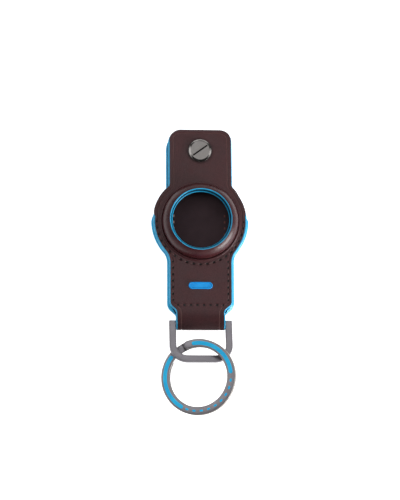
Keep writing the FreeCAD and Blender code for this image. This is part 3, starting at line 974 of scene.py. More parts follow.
insetSteps = [0.42, 0.7, 0.95, *np.arange(1.05, 2.6, 0.1), 2.75]


def creaseInset(outline):
    # the creased line lies closest to the edge along the body's sewn sides, and furthest in on the strap
    y = outline[:, 1]
    onBody = smooth(y, *zones["creaseBody"]) * smooth(y, *zones["creaseShoulder"])
    onStrap = smooth(y, *zones["creaseStrap"])
    disc = holder["discInset"]
    return disc + (holder["inset"] - disc) * onBody + (holder["strapInset"] - disc) * onStrap


def carryRound(direction, profile):
    # the (radius, level) points of a profile, set out along flat directions from the dome's axis
    return np.stack([np.column_stack((direction * r, np.full(len(direction), z))) for r, z in profile])


def domeProfile():
    # the welt, whose height is welt * sin(pi t)^1.5, the crease inside it, and the wall up to the lip
    t = np.linspace(0, 1, dome["weltSteps"] + 1)[1:, None]
    weltRadius = dome["apron"] + (dome["foot"] - dome["apron"]) * t
    welt = np.hstack((weltRadius, dome["welt"] * np.sin(math.pi * t) ** 1.5))
    valley = np.array(dome["valley"]) + (dome["foot"], 0)
    foot = np.concatenate((welt, valley)) + (0, level["frontTop"])
    start = (dome["foot"], level["frontTop"])
    rise = arcThrough(start, (dome["lip"], level["lip"]), dome["bulge"], dome["wallSteps"])
    return np.concatenate((foot, rise[2:]))


def frontTopRings():
    # the upper face: a rounded edge, the crease line, the flat panel, the dome's foot and the dome to its lip
    rho = front["edgeRound"]
    square, ease = front["squareEnd"]
    onEnd = smooth(frontEnd + square - frontY, 0, ease)
    turn = np.linspace(0, math.pi / 2, 5)[:, None]
    edgeIn = rho * (1 - np.cos(turn)) * (1 - onEnd)
    edgeDown = rho * (1 - np.sin(turn)) * (1 - onEnd)
    rounded = leatherOutline[None] - frontNormal[None] * edgeIn[..., None]
    flat = sheetRings(leatherOutline, frontNormal, insetSteps, dome["apron"], front["rays"])
    depth = np.concatenate((edgeIn, np.repeat(np.array(insetSteps)[:, None], len(frontOutline), 1)))
    plane = np.concatenate((rounded, flat))
    x, y = np.moveaxis(plane, -1, 0)
    down = np.zeros(plane.shape[:2])
    down[: len(edgeDown)] = edgeDown
    groove = np.zeros(plane.shape[:2])
    groove[: len(depth)] = bell(depth - creaseInset(frontOutline), front["creaseWidth"]) * (1 - onEnd)
    holes = nearHoles(plane.reshape(-1, 2)).reshape(groove.shape)
    fromScrew = np.hypot(x, y - screwY)
    press = bell(fromScrew - front["pressRadius"], front["pressWidth"])
    runX, runY = front["waveRuns"]
    inside = smooth(np.arange(len(plane))[:, None] - len(depth), 0, front["waveRings"])
    wave = np.sin(x / runX + front["wavePhase"]) * np.cos(y / runY) * inside
    wave = wave * smooth(fromScrew, *front["waveClear"]) * (y > holder["strapRoot"])
    z = level["frontTop"] - down - front["creaseDepth"] * groove - front["holeDepth"] * holes
    z = z - front["screwPress"] * press + front["wave"] * wave
    # painted shade darkens the leather where it is bent round the bar, and its drawn-out skin is dull there
    run = holder["strapRoot"] - y
    bent = sum(strength * smooth(run, start, end) for strength, start, end in front["bendShades"])
    bent = bent * (1 - smooth(run, *front["bendEnd"]))
    # painted shade: the needle holes, a ring round the screw's head and the strap's fold
    crease = np.maximum(np.maximum(holes, press * front["pressShade"]), bent)
    direction = flat[-1] / np.linalg.norm(flat[-1], axis=1, keepdims=True)
    profile = domeProfile()
    wall = carryRound(direction, profile)
    noMark = np.zeros(wall.shape[:2])
    # painted shade in the crease round the dome's foot
    nearFoot = bell(profile[:, 0] - dome["foot"], dome["footShadeWidth"])
    nearFoot = nearFoot * (profile[:, 1] < level["frontTop"] + dome["footShadeTop"]) * dome["footShade"]
    # the creased lines of the loose half and the strap turn pale: partly wear, partly painted highlight
    loosePart = np.maximum(1 - sewnFront, front["strapWearAndHighlight"] * smooth(frontY, *zones["wearAndHighlightStrap"]))
    # crease holds the painted shade; the other marks set roughness and the pale creased lines
    marks = {
        "crease": np.concatenate((crease, nearFoot[:, None] + noMark)),
        "wearAndPaintedHighlight": np.concatenate((groove * loosePart, noMark)),
        "polished": np.concatenate((0 * groove, noMark + 1)),
        "dull": np.concatenate((smooth(run, *front["dullRun"]), noMark)),
    }
    return np.concatenate((np.dstack((plane, z)), wall)), marks, direction


def makeFrontLeather():
    # a closed ring of rings: upper face from the edge to the lip, the inside of the dome and the underside
    top, topMarks, direction = frontTopRings()
    foot = (dome["ringOuter"], level["frontTop"])
    lip = (dome["leatherLip"], dome["lipUnder"])
    inside = arcThrough(foot, lip, dome["insideBulge"], dome["insideSteps"])
    profile = np.concatenate((inside[::-1], [(dome["ringOuter"], level["frontLow"])]))
    wall = carryRound(direction, profile)
    circle = dome["ringOuter"] + front["underGap"]
    under = sheetRings(leatherOutline, frontNormal, front["underInsets"], circle, front["underRays"])[::-1]
    under = np.dstack((under, np.full(under.shape[:2], level["frontLow"])))
    rings = bendStrap(np.concatenate((top, wall, under)))
    hidden = np.zeros((len(wall) + len(under), len(direction)))
    marks = {key: np.concatenate((values, hidden)) for key, values in topMarks.items()}
    nodes = ["front_panel", "strap_fold"]
    piece = sweepPiece("frontLeather", rings, leatherStuff, "leather", nodes, closed=True, marks=marks)
    drill(piece, front["screwHole"], 1, 6)
    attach(piece, "holder")


# Edge paint
bead = {
    "bulge": 0.35,
    "flapLeft": 0.6,  # how much further it stands out on the flap's left side, and on its right
    "flapRight": 0.15,
    "drop": 0.5,  # how far below the leather's face it stays on the loose half
    "flapShare": 0.5,  # how much of that the flap's sides lose
    "proud": 0.015,  # how far it rises over the face on the sewn edge
    "overlap": 0.16,
    "steps": 12,
    "lap": 0.4,  # how far it comes over the leather on the disc
    "bodyLap": 0.18,  # and on the body
    "lapShares": (0.4, 0.75, 1.0, 1.0),
    "riseShares": (0.5, 0.85, 1.0),
    "under": 0.2,
    "rootRamp": (-0.3, 0.4),  # where past the strap's root its lower edge rises to the fold
}


def paintBand(outline, normal, low, high, bulge, lap, lapRise):
    # a rounded bead on the edge and a lap over its top: the bead stands out
    # by bulge * (1 - |2t - 1|^3.5)^0.8, with t from low to high
    t = np.linspace(0, 1, bead["steps"])
    shape = (1 - np.abs(2 * t - 1) ** 3.5) ** 0.8
    out = bulge[:, None] * shape
    inner = np.full((len(outline), 2), -bead["overlap"])
    lapIn = -np.maximum(lap, bead["overlap"])[:, None]
    out = np.concatenate((out, lapIn * bead["lapShares"], inner), axis=1)
    wall = low[:, None] + (high - low)[:, None] * t
    top = high[:, None] + lapRise[:, None] * bead["riseShares"]
    under = np.column_stack((high - bead["under"], high - bead["under"], low))
    z = np.concatenate((wall, top, under), axis=1)
    flat = outline[:, None] + normal[:, None] * out[..., None]
    return np.dstack((flat, z))


def sideOrder(outline, end):
    # points of a closed outline from one corner of the strap's end, round the holder, to the other corner
    offEnd = outline[:, 1] > end + 0.1
    start = np.argmin(np.where(offEnd, np.inf, np.abs(outline[:, 0])))
    order = np.roll(np.arange(len(outline)), -start)
    onSide = np.abs(outline[order, 0]) > holder["strapHalf"] - 0.05
    return order[np.argmax(onSide) : len(order) - np.argmax(onSide[::-1])]


def makeFrontEdge():
    # laps over the leather where the layers are sewn together, and stays under its edge on the loose half
    order = sideOrder(frontOutline, frontEnd)
    outline = frontOutline[order]
    x, y = outline.T
    sewn = sewnFront[order]
    onFlap = onFlapSide[order]
    bulge = bead["bulge"] + np.where(x < 0, bead["flapLeft"], bead["flapRight"]) * onFlap
    onStrap = smooth(holder["strapRoot"] - y, *bead["rootRamp"])
    low = level["pocketFloor"] + (level["frontLow"] - level["pocketFloor"]) * onStrap
    drop = bead["drop"] * (1 - sewn) * (1 - bead["flapShare"] * onFlap)
    high = level["frontTop"] - drop + bead["proud"] * sewn
    lap = sewn * (bead["bodyLap"] + (bead["lap"] - bead["bodyLap"]) * smooth(y, *zones["discLap"]))
    rings = bendStrap(paintBand(outline, frontNormal[order], low, high, bulge, lap, 0 * x))
    nodes = ["front_edge_paint", "strap_fold_edge_paint"]
    sweepPiece("frontEdge", rings, paintStuff, "edge_paint", nodes, body="holder")


window = {
    "steps": 40,
    "around": 240,
    "skin": 0.14,  # how far the paint stands in from the wall
    # height, place and width on the wall
    "beads": [(0.14, 0.06, 0.07), (0.14, 0.9, 0.08), (-0.1, 0.42, 0.16)],
    "endRamp": 14.0,
    "behind": 0.12,
    # painted shade down the window's wall, lifted near the lower rim into a painted light line
    "dark": (0.1, 0.18),  # where down the wall its shade begins, and where it pales again
    "pale": (0.64, 0.78),
    "paleShare": 0.8,
}


def makeWindowEdge():
    # turned about the dome's axis: a bead at the lip, a hollow wall, and a second bead at the lower rim
    u = np.linspace(0, 1, window["steps"])
    lip = np.array((dome["lip"], level["lip"]))
    rim = np.array((dome["rim"], level["rim"]))
    line = lip + (rim - lip) * u[:, None]
    inward = window["skin"] + sum(height * bell(u - place, width) for height, place, width in window["beads"])
    inward = inward * np.clip(np.minimum(u, 1 - u) * window["endRamp"], 0, 1) ** 0.5
    face = line - np.column_stack((inward, np.zeros_like(u)))
    behind = line[[-1, 0]] + (window["behind"], 0)
    radius, height = np.concatenate((face, behind)).T
    # painted shade on the wall between the beads, lifted near the lower rim into a painted light line
    dark = smooth(u, *window["dark"]) * (1 - window["paleShare"] * smooth(u, *window["pale"]))
    turn = np.linspace(0, 2 * math.pi, window["around"], endpoint=False)[:, None]
    rings = np.dstack((np.cos(turn) * radius, np.sin(turn) * radius, np.ones_like(turn) * height))
    marks = {"crease": np.repeat([[*dark, 1, 0]], len(turn), 0)}
    nodes = ["window_edge_paint"]
    sweepPiece("windowEdge", rings, paintStuff, "edge_paint", nodes, closed=True, body="holder", marks=marks)


makeFrontLeather()
makeFrontEdge()
makeWindowEdge()
print("front made")


# Back leather, lining and edge, shaped round the bend where the loose half opens
back = {
    "around": 420,
    "rays": 54,
    "insets": [0.42, 0.7, 1.0, 1.2, 1.4, 1.6, 1.8, 2.1],
    "edgeRound": 0.3,
    "crease": 1.4,
    "creaseDepth": 0.14,
    "creaseWidth": 0.25,
    "rowDepth": 0.24,
    "holeDepth": 0.1,
    "wave": 0.03,
    "waveRuns": (6.1, 7.3),
    "wavePhase": 0.4,
    # painted shade in the back's crease and along its stitch rows
    "grooveShade": 0.5,
    "rowShade": 0.4,
    "centre": 0.5,
    "squareEnd": (0.4, 1.2),  # how near its end the strap's edge turns square
    "liningInsets": [0.0, 0.4, 2.1],
    "bendStart": (0, 0.001, 0),
    "bendEnd": (0, 0.005, 0),
    "ledge": 0.95,  # how far the sewn edge's paint laps inwards
    "ledgeRise": 0.7,
    "looseLap": 0.8,  # the same on the loose half
    "looseRise": 0.04,
    # painted shade on the loose half's lap, which lies under the front's edge
    "looseShade": (0.5, 1, 1, 1),  # that lap is dark, as it lies under the front's edge
    "rootRamp": (0.3, 1.1),  # where past the strap's root its upper edge drops to the fold
    "edgeLift": 0.02,
    "recess": 5.1,
    "recessDepth": 1.0,
    "hole": 2.45,
}
backOutline = backOutlineTo(fold["y"], back["around"])
backNormal = outwardNormals(backOutline, fold["y"])


def nearStitches(flat):
    # 1 along the line of each stitch, falling off as a bell
    ends = stitchHoles.reshape(2, -1, 2)
    along = ends[1] - ends[0]
    offset = flat[:, None] - ends[0][None]
    share = np.clip(np.sum(offset * along, axis=2) / np.sum(along * along, axis=1), 0, 1)
    apart = np.linalg.norm(offset - share[..., None] * along, axis=2).min(axis=1)
    return bell(apart, stitch["hole"])


def liningTop(y):
    # the lining's upper face, which drops to the loose half's level across the bend
    opening = smooth(y, back["bendStart"][1] / mm, back["bendEnd"][1] / mm)
    return level["pocketFloor"] - (level["pocketFloor"] - level["flapLining"]) * opening


def bendBack(piece):
    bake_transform(piece)


def makeBackLeather():
    # outer face from the middle to the rounded edge, with a crease and sunk stitch rows, then the inner face
    plane = sheetRings(backOutline, backNormal, back["insets"], back["centre"], back["rays"])
    depth = np.full(len(plane), np.inf)
    depth[: len(back["insets"])] = back["insets"]
    away = smooth(backOutline[:, 1] - fold["y"], *back["squareEnd"])
    groove = bell(depth - back["crease"], back["creaseWidth"])[:, None] * away
    flatPoints = plane.reshape(-1, 2)
    rowDip = nearStitches(flatPoints).reshape(groove.shape)
    holes = nearHoles(flatPoints).reshape(groove.shape)
    runX, runY = back["waveRuns"]
    wave = 0.5 + 0.5 * np.sin(plane[..., 0] / runX) * np.cos(plane[..., 1] / runY + back["wavePhase"])
    z = back["creaseDepth"] * groove + back["rowDepth"] * rowDip
    z = z + back["holeDepth"] * holes + back["wave"] * wave
    outer = np.dstack((plane, z))[::-1]
    # painted shade in the crease, along the stitch rows and in the needle holes
    shade = np.maximum(groove * back["grooveShade"], rowDip * back["rowShade"])
    shade = np.maximum(shade, holes)[::-1]
    rho = back["edgeRound"]
    turn = np.linspace(math.pi / 2, 0, 5)[:, None]
    edgeIn = rho * (1 - np.cos(turn)) * away
    edgeUp = rho * (1 - np.sin(turn)) * away
    rounded = np.dstack((backOutline[None] - backNormal[None] * edgeIn[..., None], edgeUp))
    inner = np.dstack((plane, np.full(plane.shape[:2], level["backTop"])))
    edgeTop = np.column_stack((backOutline, np.full(len(backOutline), level["backTop"])))[None]
    rings = np.concatenate((outer, rounded, edgeTop, inner))
    shade = np.concatenate((shade, np.zeros((len(rings) - len(shade), len(backOutline)))))
    nodes = ["back_panel", "back_flap"]
    piece = sweepPiece("backLeather", rings, leatherStuff, "leather", nodes, marks={"crease": shade})
    drill(piece, back["hole"], -1, 3)
    drill(piece, back["recess"], -1, back["recessDepth"])
    bendBack(piece)


def makeBackLining():
    # a thin sheet on the back leather that stops at the strap's root
    end = holder["strapRoot"]
    outline = backOutlineTo(end, back["around"])
    normal = outwardNormals(outline, end)
    plane = sheetRings(outline, normal, back["liningInsets"], back["centre"], back["rays"])
    top = np.dstack((plane, liningTop(plane[..., 1])))
    under = np.dstack((plane, np.full(plane.shape[:2], level["backTop"])))
    rings = np.concatenate((under[::-1], top))
    nodes = ["back_lining", "back_flap_lining"]
    piece = sweepPiece("backLining", rings, liningStuff, "lining", nodes)
    drill(piece, back["hole"], 0, 4)
    bendBack(piece)


def makeBackEdge():
    # bead on the back's edge; where the layers are sewn it climbs over the ledge to the front's paint
    order = sideOrder(backOutline, fold["y"])
    outline = backOutline[order]
    x, y = outline.T
    sewn = sewnShare(y)
    ledge = sewn * smooth(y, *zones["ledge"])
    pastRoot = smooth(holder["strapRoot"] - y, *back["rootRamp"])
    high = liningTop(y) - (level["pocketFloor"] - level["backTop"]) * pastRoot
    low = np.full(len(x), back["edgeLift"])
    bulge = np.full(len(x), bead["bulge"])
    lap = back["ledge"] * ledge + back["looseLap"] * (1 - sewn)
    lapRise = back["ledgeRise"] * ledge + back["looseRise"] * (1 - sewn)
    rings = paintBand(outline, backNormal[order], low, high, bulge, lap, lapRise)
    # painted shade on the loose half's lap
    shade = np.zeros(rings.shape[1])
    shade[bead["steps"] : bead["steps"] + len(back["looseShade"])] = back["looseShade"]
    marks = {"crease": (1 - sewn)[:, None] * shade}
    nodes = ["back_edge_paint", "back_flap_edge_paint"]
    bendBack(sweepPiece("backEdge", rings, paintStuff, "edge_paint", nodes, marks=marks))


makeBackLeather()
makeBackLining()
makeBackEdge()
print("back made")


# Threads: each stitch shows a twisted arch on the front and one on the back
thread = {
    "radius": 0.27,
    "along": 11,
    "around": 10,
    "twist": 5.2,
    "ply": 0.13,
    "proud": 0.06,
    "dive": 0.62,
    "backLevel": 0.13,  # the back's rows lie sunk in its face
}


def stitchShell():
    # one arch along X: its middle line lies at proud - radius - dive * |2t - 1|^4, and two plies wind round it
    t = np.linspace(0, 1, thread["along"])[:, None]
    turn = np.linspace(0, 2 * math.pi, thread["around"], endpoint=False)[None]
    radius = thread["radius"] * (1 + thread["ply"] * np.cos(2 * turn - thread["twist"] * math.pi * t))
    x = (t - 0.5) * stitch["length"] + 0 * turn
    z = thread["proud"] - thread["radius"] - thread["dive"] * np.abs(2 * t - 1) ** 4 + radius * np.sin(turn)
    return np.dstack((x, radius * np.cos(turn), z))


def makeThreads(name, node):
    arch = stitchShell()
    shells = []
    for x, y, direction in rows[node]:
        cos = math.cos(direction)
        sin = math.sin(direction)
        for side, height in ((1, level["frontTop"]), (-1, thread["backLevel"])):
            across = arch[..., 1] * side
            placed = (x + arch[..., 0] * cos - across * sin, y + arch[..., 0] * sin + across * cos)
            shells.append(shellOf(np.dstack((*placed, height + arch[..., 2] * side))))
    # painted shade at the thread's ends, where they dive into the needle holes
    ends = np.abs(np.linspace(-1, 1, thread["along"])) ** 5  # the ends lie dark in the needle holes
    marks = {"crease": np.tile(np.repeat(ends, thread["around"]), len(shells))}
    addPiece(name, *joinShells(shells), threadStuff, "thread", [node], body="holder", marks=marks)


makeThreads("domeThreads", "dome_stitching")
makeThreads("sideThreads", "side_stitching")
makeThreads("rootThreads", "root_stitching")
print("stitches made")


# Binding screw and its post
screw = {
    "head": 5.3,
    "bevel": 0.95,
    "bevelDrop": 0.34,
    "edge": 0.14,
    "underEdge": 0.12,
    "shoulder": [(0.1, 0.035), (0.04, 0.01)],  # the bevel's upper edge: out from the flat crown, and down
    "crown": (4.0, 3.0, 1.5),  # radii of the rings on the flat crown
    "tip": [(0.8, 0.0), (1.0, 0.05)],  # radius and level of the shank's end
    "shank": 1.2,
    "shankRings": 40,
    "fillet": 0.1,
    "threadFade": 0.3,
    "pitch": 0.7,
    "threadDepth": 0.2,
    "slotLength": 8.4,
    "slotWidth": 0.75,
    "slotDepth": 0.5,
    "slotBand": 0.01,  # how near its floor, and how far inside the rim, a point counts as the slot's
    "slotClear": 0.3,
    "slotTurn": 36.0,
    "around": 128,
}
post = {
    "head": 5.0,
    "headHeight": 1.0,
    "edge": 0.3,
    "rimEdge": 0.05,
    "dish": [(1.2, 0.06), (2.4, 0.04)],  # radius and level of the face, and of the groove turned in it
    "groove": [(3.3, 0.0), (3.45, 0.14), (3.7, 0.14), (3.85, 0.0)],
    "barrel": 2.4,
    "barrelEdge": 0.15,
    "bore": 1.5,
    "boreEdge": 0.12,
    "boreFloor": 0.9,
    "boreRings": 36,
}


def woundShank(rings, low, high):
    # cuts a thread into the rings between low and high: with f the fraction of a turn,
    # the radius drops by depth * |2f - 1|
    turn = np.linspace(0, 1, rings.shape[1], endpoint=False)
    height = rings[..., 2]
    part = np.mod(height / screw["pitch"] - turn, 1)
    inside = smooth(height - low, 0, screw["threadFade"]) * smooth(high - height, 0, screw["threadFade"])
    shrink = 1 - screw["threadDepth"] / screw["shank"] * np.abs(2 * part - 1) * inside
    wound = rings.copy()
    wound[..., 0] = rings[..., 0] * shrink
    wound[..., 1] = screwY + (rings[..., 1] - screwY) * shrink
    return wound


def markSlot(mesh, top):
    # marks the points on the slot's floor, deep in the head near its axis, for the slot's painted shade
    places = np.empty(3 * len(mesh.vertices), np.float32)
    mesh.vertices.foreach_get("co", places)
    x, y, z = places.reshape(-1, 3).T / mm
    atDepth = np.abs(z - top + screw["slotDepth"]) < screw["slotBand"]
    inHead = np.hypot(x, y - screwY) < screw["head"] - screw["slotClear"]
    mesh.attributes["crease"].data.foreach_set("value", (atDepth & inHead).astype(np.float32))


def makeScrew():
    tip, top = spanOf("binding_screw", 2)
    seat = level["frontTop"]
    head = screw["head"]
    end = np.array(screw["tip"]) + (0, tip)
    shank = [(screw["shank"], z) for z in np.linspace(tip + 0.25, seat - 0.02, screw["shankRings"])]
    soft = screw["underEdge"]
    under = [(screw["shank"] + screw["fillet"], seat), (head - soft, seat), (head, seat + soft)]
    rimTop = top - screw["bevelDrop"]
    flat = head - screw["bevel"]
    edge = arcPoints((head - screw["edge"], rimTop - screw["edge"]), screw["edge"], 0.1, 1.2, 0.04)
    bevel = [(head - screw["edge"] - 0.1, rimTop + 0.03)]
    bevel += [(flat + out, top - down) for out, down in screw["shoulder"]]
    crown = [(r, top) for r in (flat - 0.04, *screw["crown"])]
    profile = np.concatenate((end, shank, under, edge, bevel, crown))
    rings = lathe(profile, screwY, screw["around"])
    onBevel = (profile[:, 0] > flat + 0.02) & (profile[:, 1] > seat)
    marks = {"polished": np.repeat(onBevel[:, None], screw["around"], 1), "crease": np.zeros(rings.shape[:2])}
    onShank = slice(len(end), len(end) + len(shank))
    rings[onShank] = woundShank(rings[onShank], tip, seat)
    nodes = ["binding_screw"]
    piece = sweepPiece("bindingScrew", rings, screwStuff, "screw_metal", nodes, sharp=12, marks=marks)
    strip = stadium(screw["slotLength"] / 2, screw["slotWidth"] / 2)
    turn = math.radians(screw["slotTurn"])
    spin = np.array(((math.cos(turn), math.sin(turn)), (-math.sin(turn), math.cos(turn))))
    strip = strip @ spin + (0, screwY)
    ends = [np.column_stack((strip, np.full(len(strip), z))) for z in (top - screw["slotDepth"], top + 1)]
    cutAway(piece, np.stack(ends), 12)
    markSlot(piece.data, top)
    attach(piece, "screw")


def makePost():
    top = spanOf("binding_post", 2)[1]
    head = post["head"]
    height = post["headHeight"]
    edge = arcPoints((head - post["edge"], post["edge"]), post["edge"], -math.pi / 2, 0, 0.08)
    rim = [(head, height - post["rimEdge"]), (head - post["rimEdge"], height)]
    radius = post["barrel"]
    barrel = [(radius, height), (radius, top - post["barrelEdge"]), (radius - post["barrelEdge"], top)]
    bore = [(post["bore"] + post["boreEdge"], top), (post["bore"], top - post["boreEdge"])]
    bore += [(post["bore"], z) for z in np.linspace(top - 0.2, post["boreFloor"], post["boreRings"])]
    profile = np.concatenate((post["dish"], post["groove"], edge, rim, barrel, bore))
    rings = lathe(profile, screwY, screw["around"])
    piece = sweepPiece("bindingPost", rings, screwStuff, "screw_metal", ["binding_post"], sharp=32)
    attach(piece, "post")


makeScrew()
makePost()
print("screw and post made")


# Plain badge: a raised bead round a pill, with a sunk field
badge = {
    "halfLength": 5.5,
    "halfWidth": 1.6,
    "height": 0.6,
    "spring": 0.45,  # the share of its height at which the bead's arch begins
    "root": 0.12,  # how deep its foot sits in the leather
    "bead": 0.62,
    "beadSteps": [0, 0, 0.03, 0.09, 0.18, 0.31, 0.44, 0.53, 0.59, 0.62],
    "field": 0.2,
    "fieldRise": 0.05,
    "fieldEnd": 1.4,
    "around": 120,
}


def makeBadge():
    # rings of one pill drawn in step by step, with the height of a bead and then of the field
    inset = np.concatenate((badge["beadSteps"], np.linspace(0.7, 1.45, 5)))
    arch = np.sqrt(np.clip(1 - (2 * inset / badge["bead"] - 1) ** 2, 0, 1))
    height = badge["height"] * (badge["spring"] + (1 - badge["spring"]) * arch)
    crown = badge["fieldRise"] * smooth(inset, badge["bead"], badge["fieldEnd"])
    fieldHeight = badge["height"] - badge["field"] + crown
    height = np.where(inset > badge["bead"] / 2, np.maximum(height, fieldHeight), height)
    height[0] = -badge["root"]
    middleY = middleOf("front_badge", 1)
    rings = []
    for inward, z in zip(inset, level["frontTop"] + height):
        pill = stadium(badge["halfLength"] - inward, badge["halfWidth"] - inward, badge["around"])
        rings.append(np.column_stack((pill + (0, middleY), np.full(len(pill), z))))
    sweepPiece("frontBadge", np.stack(rings), badgeStuff, "badge", ["front_badge"], body="holder", sharp=50)


makeBadge()
print("badge made")


# D-ring
dRing = {
    "halfWidth": 14.45,
    "length": 18.7,
    "legEnd": 1.8,
    "face": 3.15,
    "thickness": 1.8,
    "corner": 8.2,
    "edgeRound": 0.35,
    "endRound": 0.3,
    "prop": 17.0,
    "bar": 1.2,
    "barHalf": 11.7,
    "legSteps": 14,
    "legGap": 0.4,  # between the leg's even steps and the rounds at its ends
    "cornerStep": 0.35,
    "barSteps": 6,
    "barAround": 40,
}


def onDRing(points):
    # flat points of the ring, turned about its bar and set in the fold
    prop = math.radians(dRing["prop"])
    x, y, z = np.moveaxis(np.asarray(points, float), -1, 0)
    turnedY = y * math.cos(prop) + z * math.sin(prop)
    turnedZ = z * math.cos(prop) - y * math.sin(prop)
    return np.stack((x, fold["y"] + turnedY, fold["level"] + turnedZ), axis=-1)


def makeDRing():
    # a flat bar carried down one leg, round two corners and up the other leg, with a round bar across
    half = dRing["halfWidth"] - dRing["face"] / 2
    low = dRing["face"] / 2 - dRing["length"]
    radius = dRing["corner"] - dRing["face"] / 2
    rho = dRing["endRound"]
    endSteps = dRing["legEnd"] - rho * (1 - np.cos(np.linspace(0, math.pi / 2, 5)))
    leg = np.column_stack((np.full(len(endSteps), half), endSteps))
    legY = np.linspace(endSteps[-1] - dRing["legGap"], low + radius + dRing["legGap"], dRing["legSteps"])
    legRest = np.column_stack((np.full(len(legY), half), legY))
    corner = arcPoints((half - radius, low + radius), radius, 0, -math.pi / 2, dRing["cornerStep"])
    side = np.concatenate((leg, legRest, corner, [(half / 4, low)]))
    path = np.concatenate((side, side[::-1] * (-1, 1)))
    out = -normalsOf(path, False)
    section = roundedBar(dRing["face"] / 2, dRing["thickness"] / 2, dRing["edgeRound"])
    endInset = rho * (1 - np.sin(np.linspace(0, math.pi / 2, 5)))
    shrink = np.zeros(len(path))
    shrink[: len(endInset)] = endInset
    shrink = np.maximum(shrink, shrink[::-1])[:, None]
    across = section[None, :, 0] - np.sign(section[None, :, 0]) * shrink
    up = section[None, :, 1] - np.sign(section[None, :, 1]) * shrink
    frameRings = np.dstack((path[:, None] + out[:, None] * across[..., None], up))
    turn = np.linspace(0, 2 * math.pi, dRing["barAround"], endpoint=False)
    barX = np.linspace(-dRing["barHalf"], dRing["barHalf"], dRing["barSteps"])[:, None] + 0 * turn
    barY = dRing["bar"] * np.cos(turn) + 0 * barX
    barZ = dRing["bar"] * np.sin(turn) + 0 * barX
    bar = np.dstack((barX, barY, barZ))
    shells = [shellOf(onDRing(rings)) for rings in (frameRings, bar)]
    addPiece("dRing", *joinShells(shells), ringStuff, "ring_metal", ["d_ring"], body="d_ring")


makeDRing()
print("D-ring made")


# Split key ring: a flat wire of two coils, and the enamel in its upper face
coil = {
    "radius": 15.45,
    "width": 3.7,
    "thickness": 1.15,
    "rise": 0.8,
    "corner": 0.3,
    "start": 108.0,
    "upper": 324.0,
    "ramp": 24.0,
    "under": 326.0,
    "step": 1.5,
    "tipShare": 0.06,  # the share of the half width that is left at a tip
    # painted shade: the upper coil's tip shading the wire beneath, and darker walls
    "crevice": 8.5,  # degrees from the upper coil's start to the shade of its tip on the wire beneath
    "creviceSpan": 1.6,
    "wall": 0.9,  # the share of the half width past which a point lies on a side wall
    # painted highlight: pale rounded corners, and a pale outer wall on the under coil
    "cornerPaintedHighlight": 0.6,
    "underPaintedHighlight": 0.8,  # the under coil's outer wall is painted pale, a painted highlight
    "innerShade": 0.4,  # the walls that face the middle are darker
    "outerShade": 0.5,  # and so is the upper coil's outer wall
}
enamel = {
    "width": 1.8,
    "depth": 0.25,
    "proud": 0.06,
    "rim": 0.35,  # the share of that height at the pool's edge
    "arcs": {
        "enamelFirstArc": ("enamel_first_arc", 97.0, 89.5),
        "enamelSecondArc": ("enamel_second_arc", 239.5, 95.5),
    },
    "firstMark": -6.0,
    "markStep": 12.8,
    "marks": 9,
    "markLength": 1.6,
    "markWidth": 0.9,
    "arcStep": 2.0,  # degrees between the rings of an arc, and of a mark
    "dashStep": 9.0,
}


def onKeyRing(points):
    # points in the ring's own frame, leaned about Y and set at its centre
    lean = joints["key_ring_spin"]["axis"]
    centre = np.array(joints["key_ring_spin"]["pos_m"]) / mm
    x, y, z = np.moveaxis(np.asarray(points, float), -1, 0)
    return np.stack((x * lean[2] + z * lean[0], y, z * lean[2] - x * lean[0]), axis=-1) + centre


def roundTips(start, sweep, halfWidth, step):
    # angles clockwise from start, and the half width along them, which falls to nearly nothing
    # in a half circle at each end
    reach = math.degrees(halfWidth / coil["radius"])
    tip = np.linspace(0, math.pi / 2, 7)[:-1]
    first = start + reach * np.cos(tip)
    last = start - sweep - reach * np.cos(tip[::-1])
    middle = np.linspace(start, start - sweep, max(2, int(sweep / step)))
    width = np.concatenate((np.sin(tip), np.ones(len(middle)), np.sin(tip[::-1]))) * halfWidth
    return np.concatenate((first, middle, last)), np.maximum(width, coil["tipShare"] * halfWidth)


def coilRings(angles, halfWidths, section, rise):
    # the section's first number is a share of the half width
    turn = np.radians(angles)[:, None]
    radius = coil["radius"] + section[None, :, 0] * halfWidths[:, None]
    height = rise[:, None] + section[None, :, 1]
    return np.dstack((radius * np.cos(turn), radius * np.sin(turn), height))


def makeKeyRing():
    total = coil["upper"] + coil["ramp"] + coil["under"]
    angles, widths = roundTips(coil["start"], total, coil["width"] / 2, coil["step"])
    share = np.clip((coil["start"] - angles - coil["upper"]) / coil["ramp"], 0, 1)
    rise = coil["rise"] * np.cos(math.pi * share)
    section = roundedBar(coil["width"] / 2, coil["thickness"] / 2, coil["corner"]) * (2 / coil["width"], 1)
    rings = onKeyRing(coilRings(angles, widths, section, rise))
    margin = 0.02  # of the rounded corner that still counts as a flat face
    onCorner = np.abs(section[:, 1]) < coil["thickness"] / 2 - margin
    onCorner = onCorner & (np.abs(section[:, 0]) < 1 - margin * 2 / coil["width"])
    outerWall = (section[:, 0] > coil["wall"])[None]
    innerWall = (section[:, 0] < -coil["wall"])[None]
    # painted highlight: pale rounded corners and the under coil's outer wall
    wearAndPaintedHighlight = np.maximum(coil["cornerPaintedHighlight"] * onCorner[None], coil["underPaintedHighlight"] * outerWall * share[:, None])
    # painted shade: the tip's shadow on the wire beneath, and darker inner and outer walls
    tipShade = bell(angles + 360 - coil["start"] - coil["crevice"], coil["creviceSpan"])[:, None]
    onUpper = (share == 0)[:, None]
    wallShade = np.maximum(coil["innerShade"] * innerWall, coil["outerShade"] * outerWall * onUpper)
    marks = {"wearAndPaintedHighlight": wearAndPaintedHighlight, "crease": np.maximum(tipShade, wallShade)}
    sweepPiece("splitRing", rings, ringStuff, "ring_metal", ["split_ring"], body="key_ring", marks=marks)


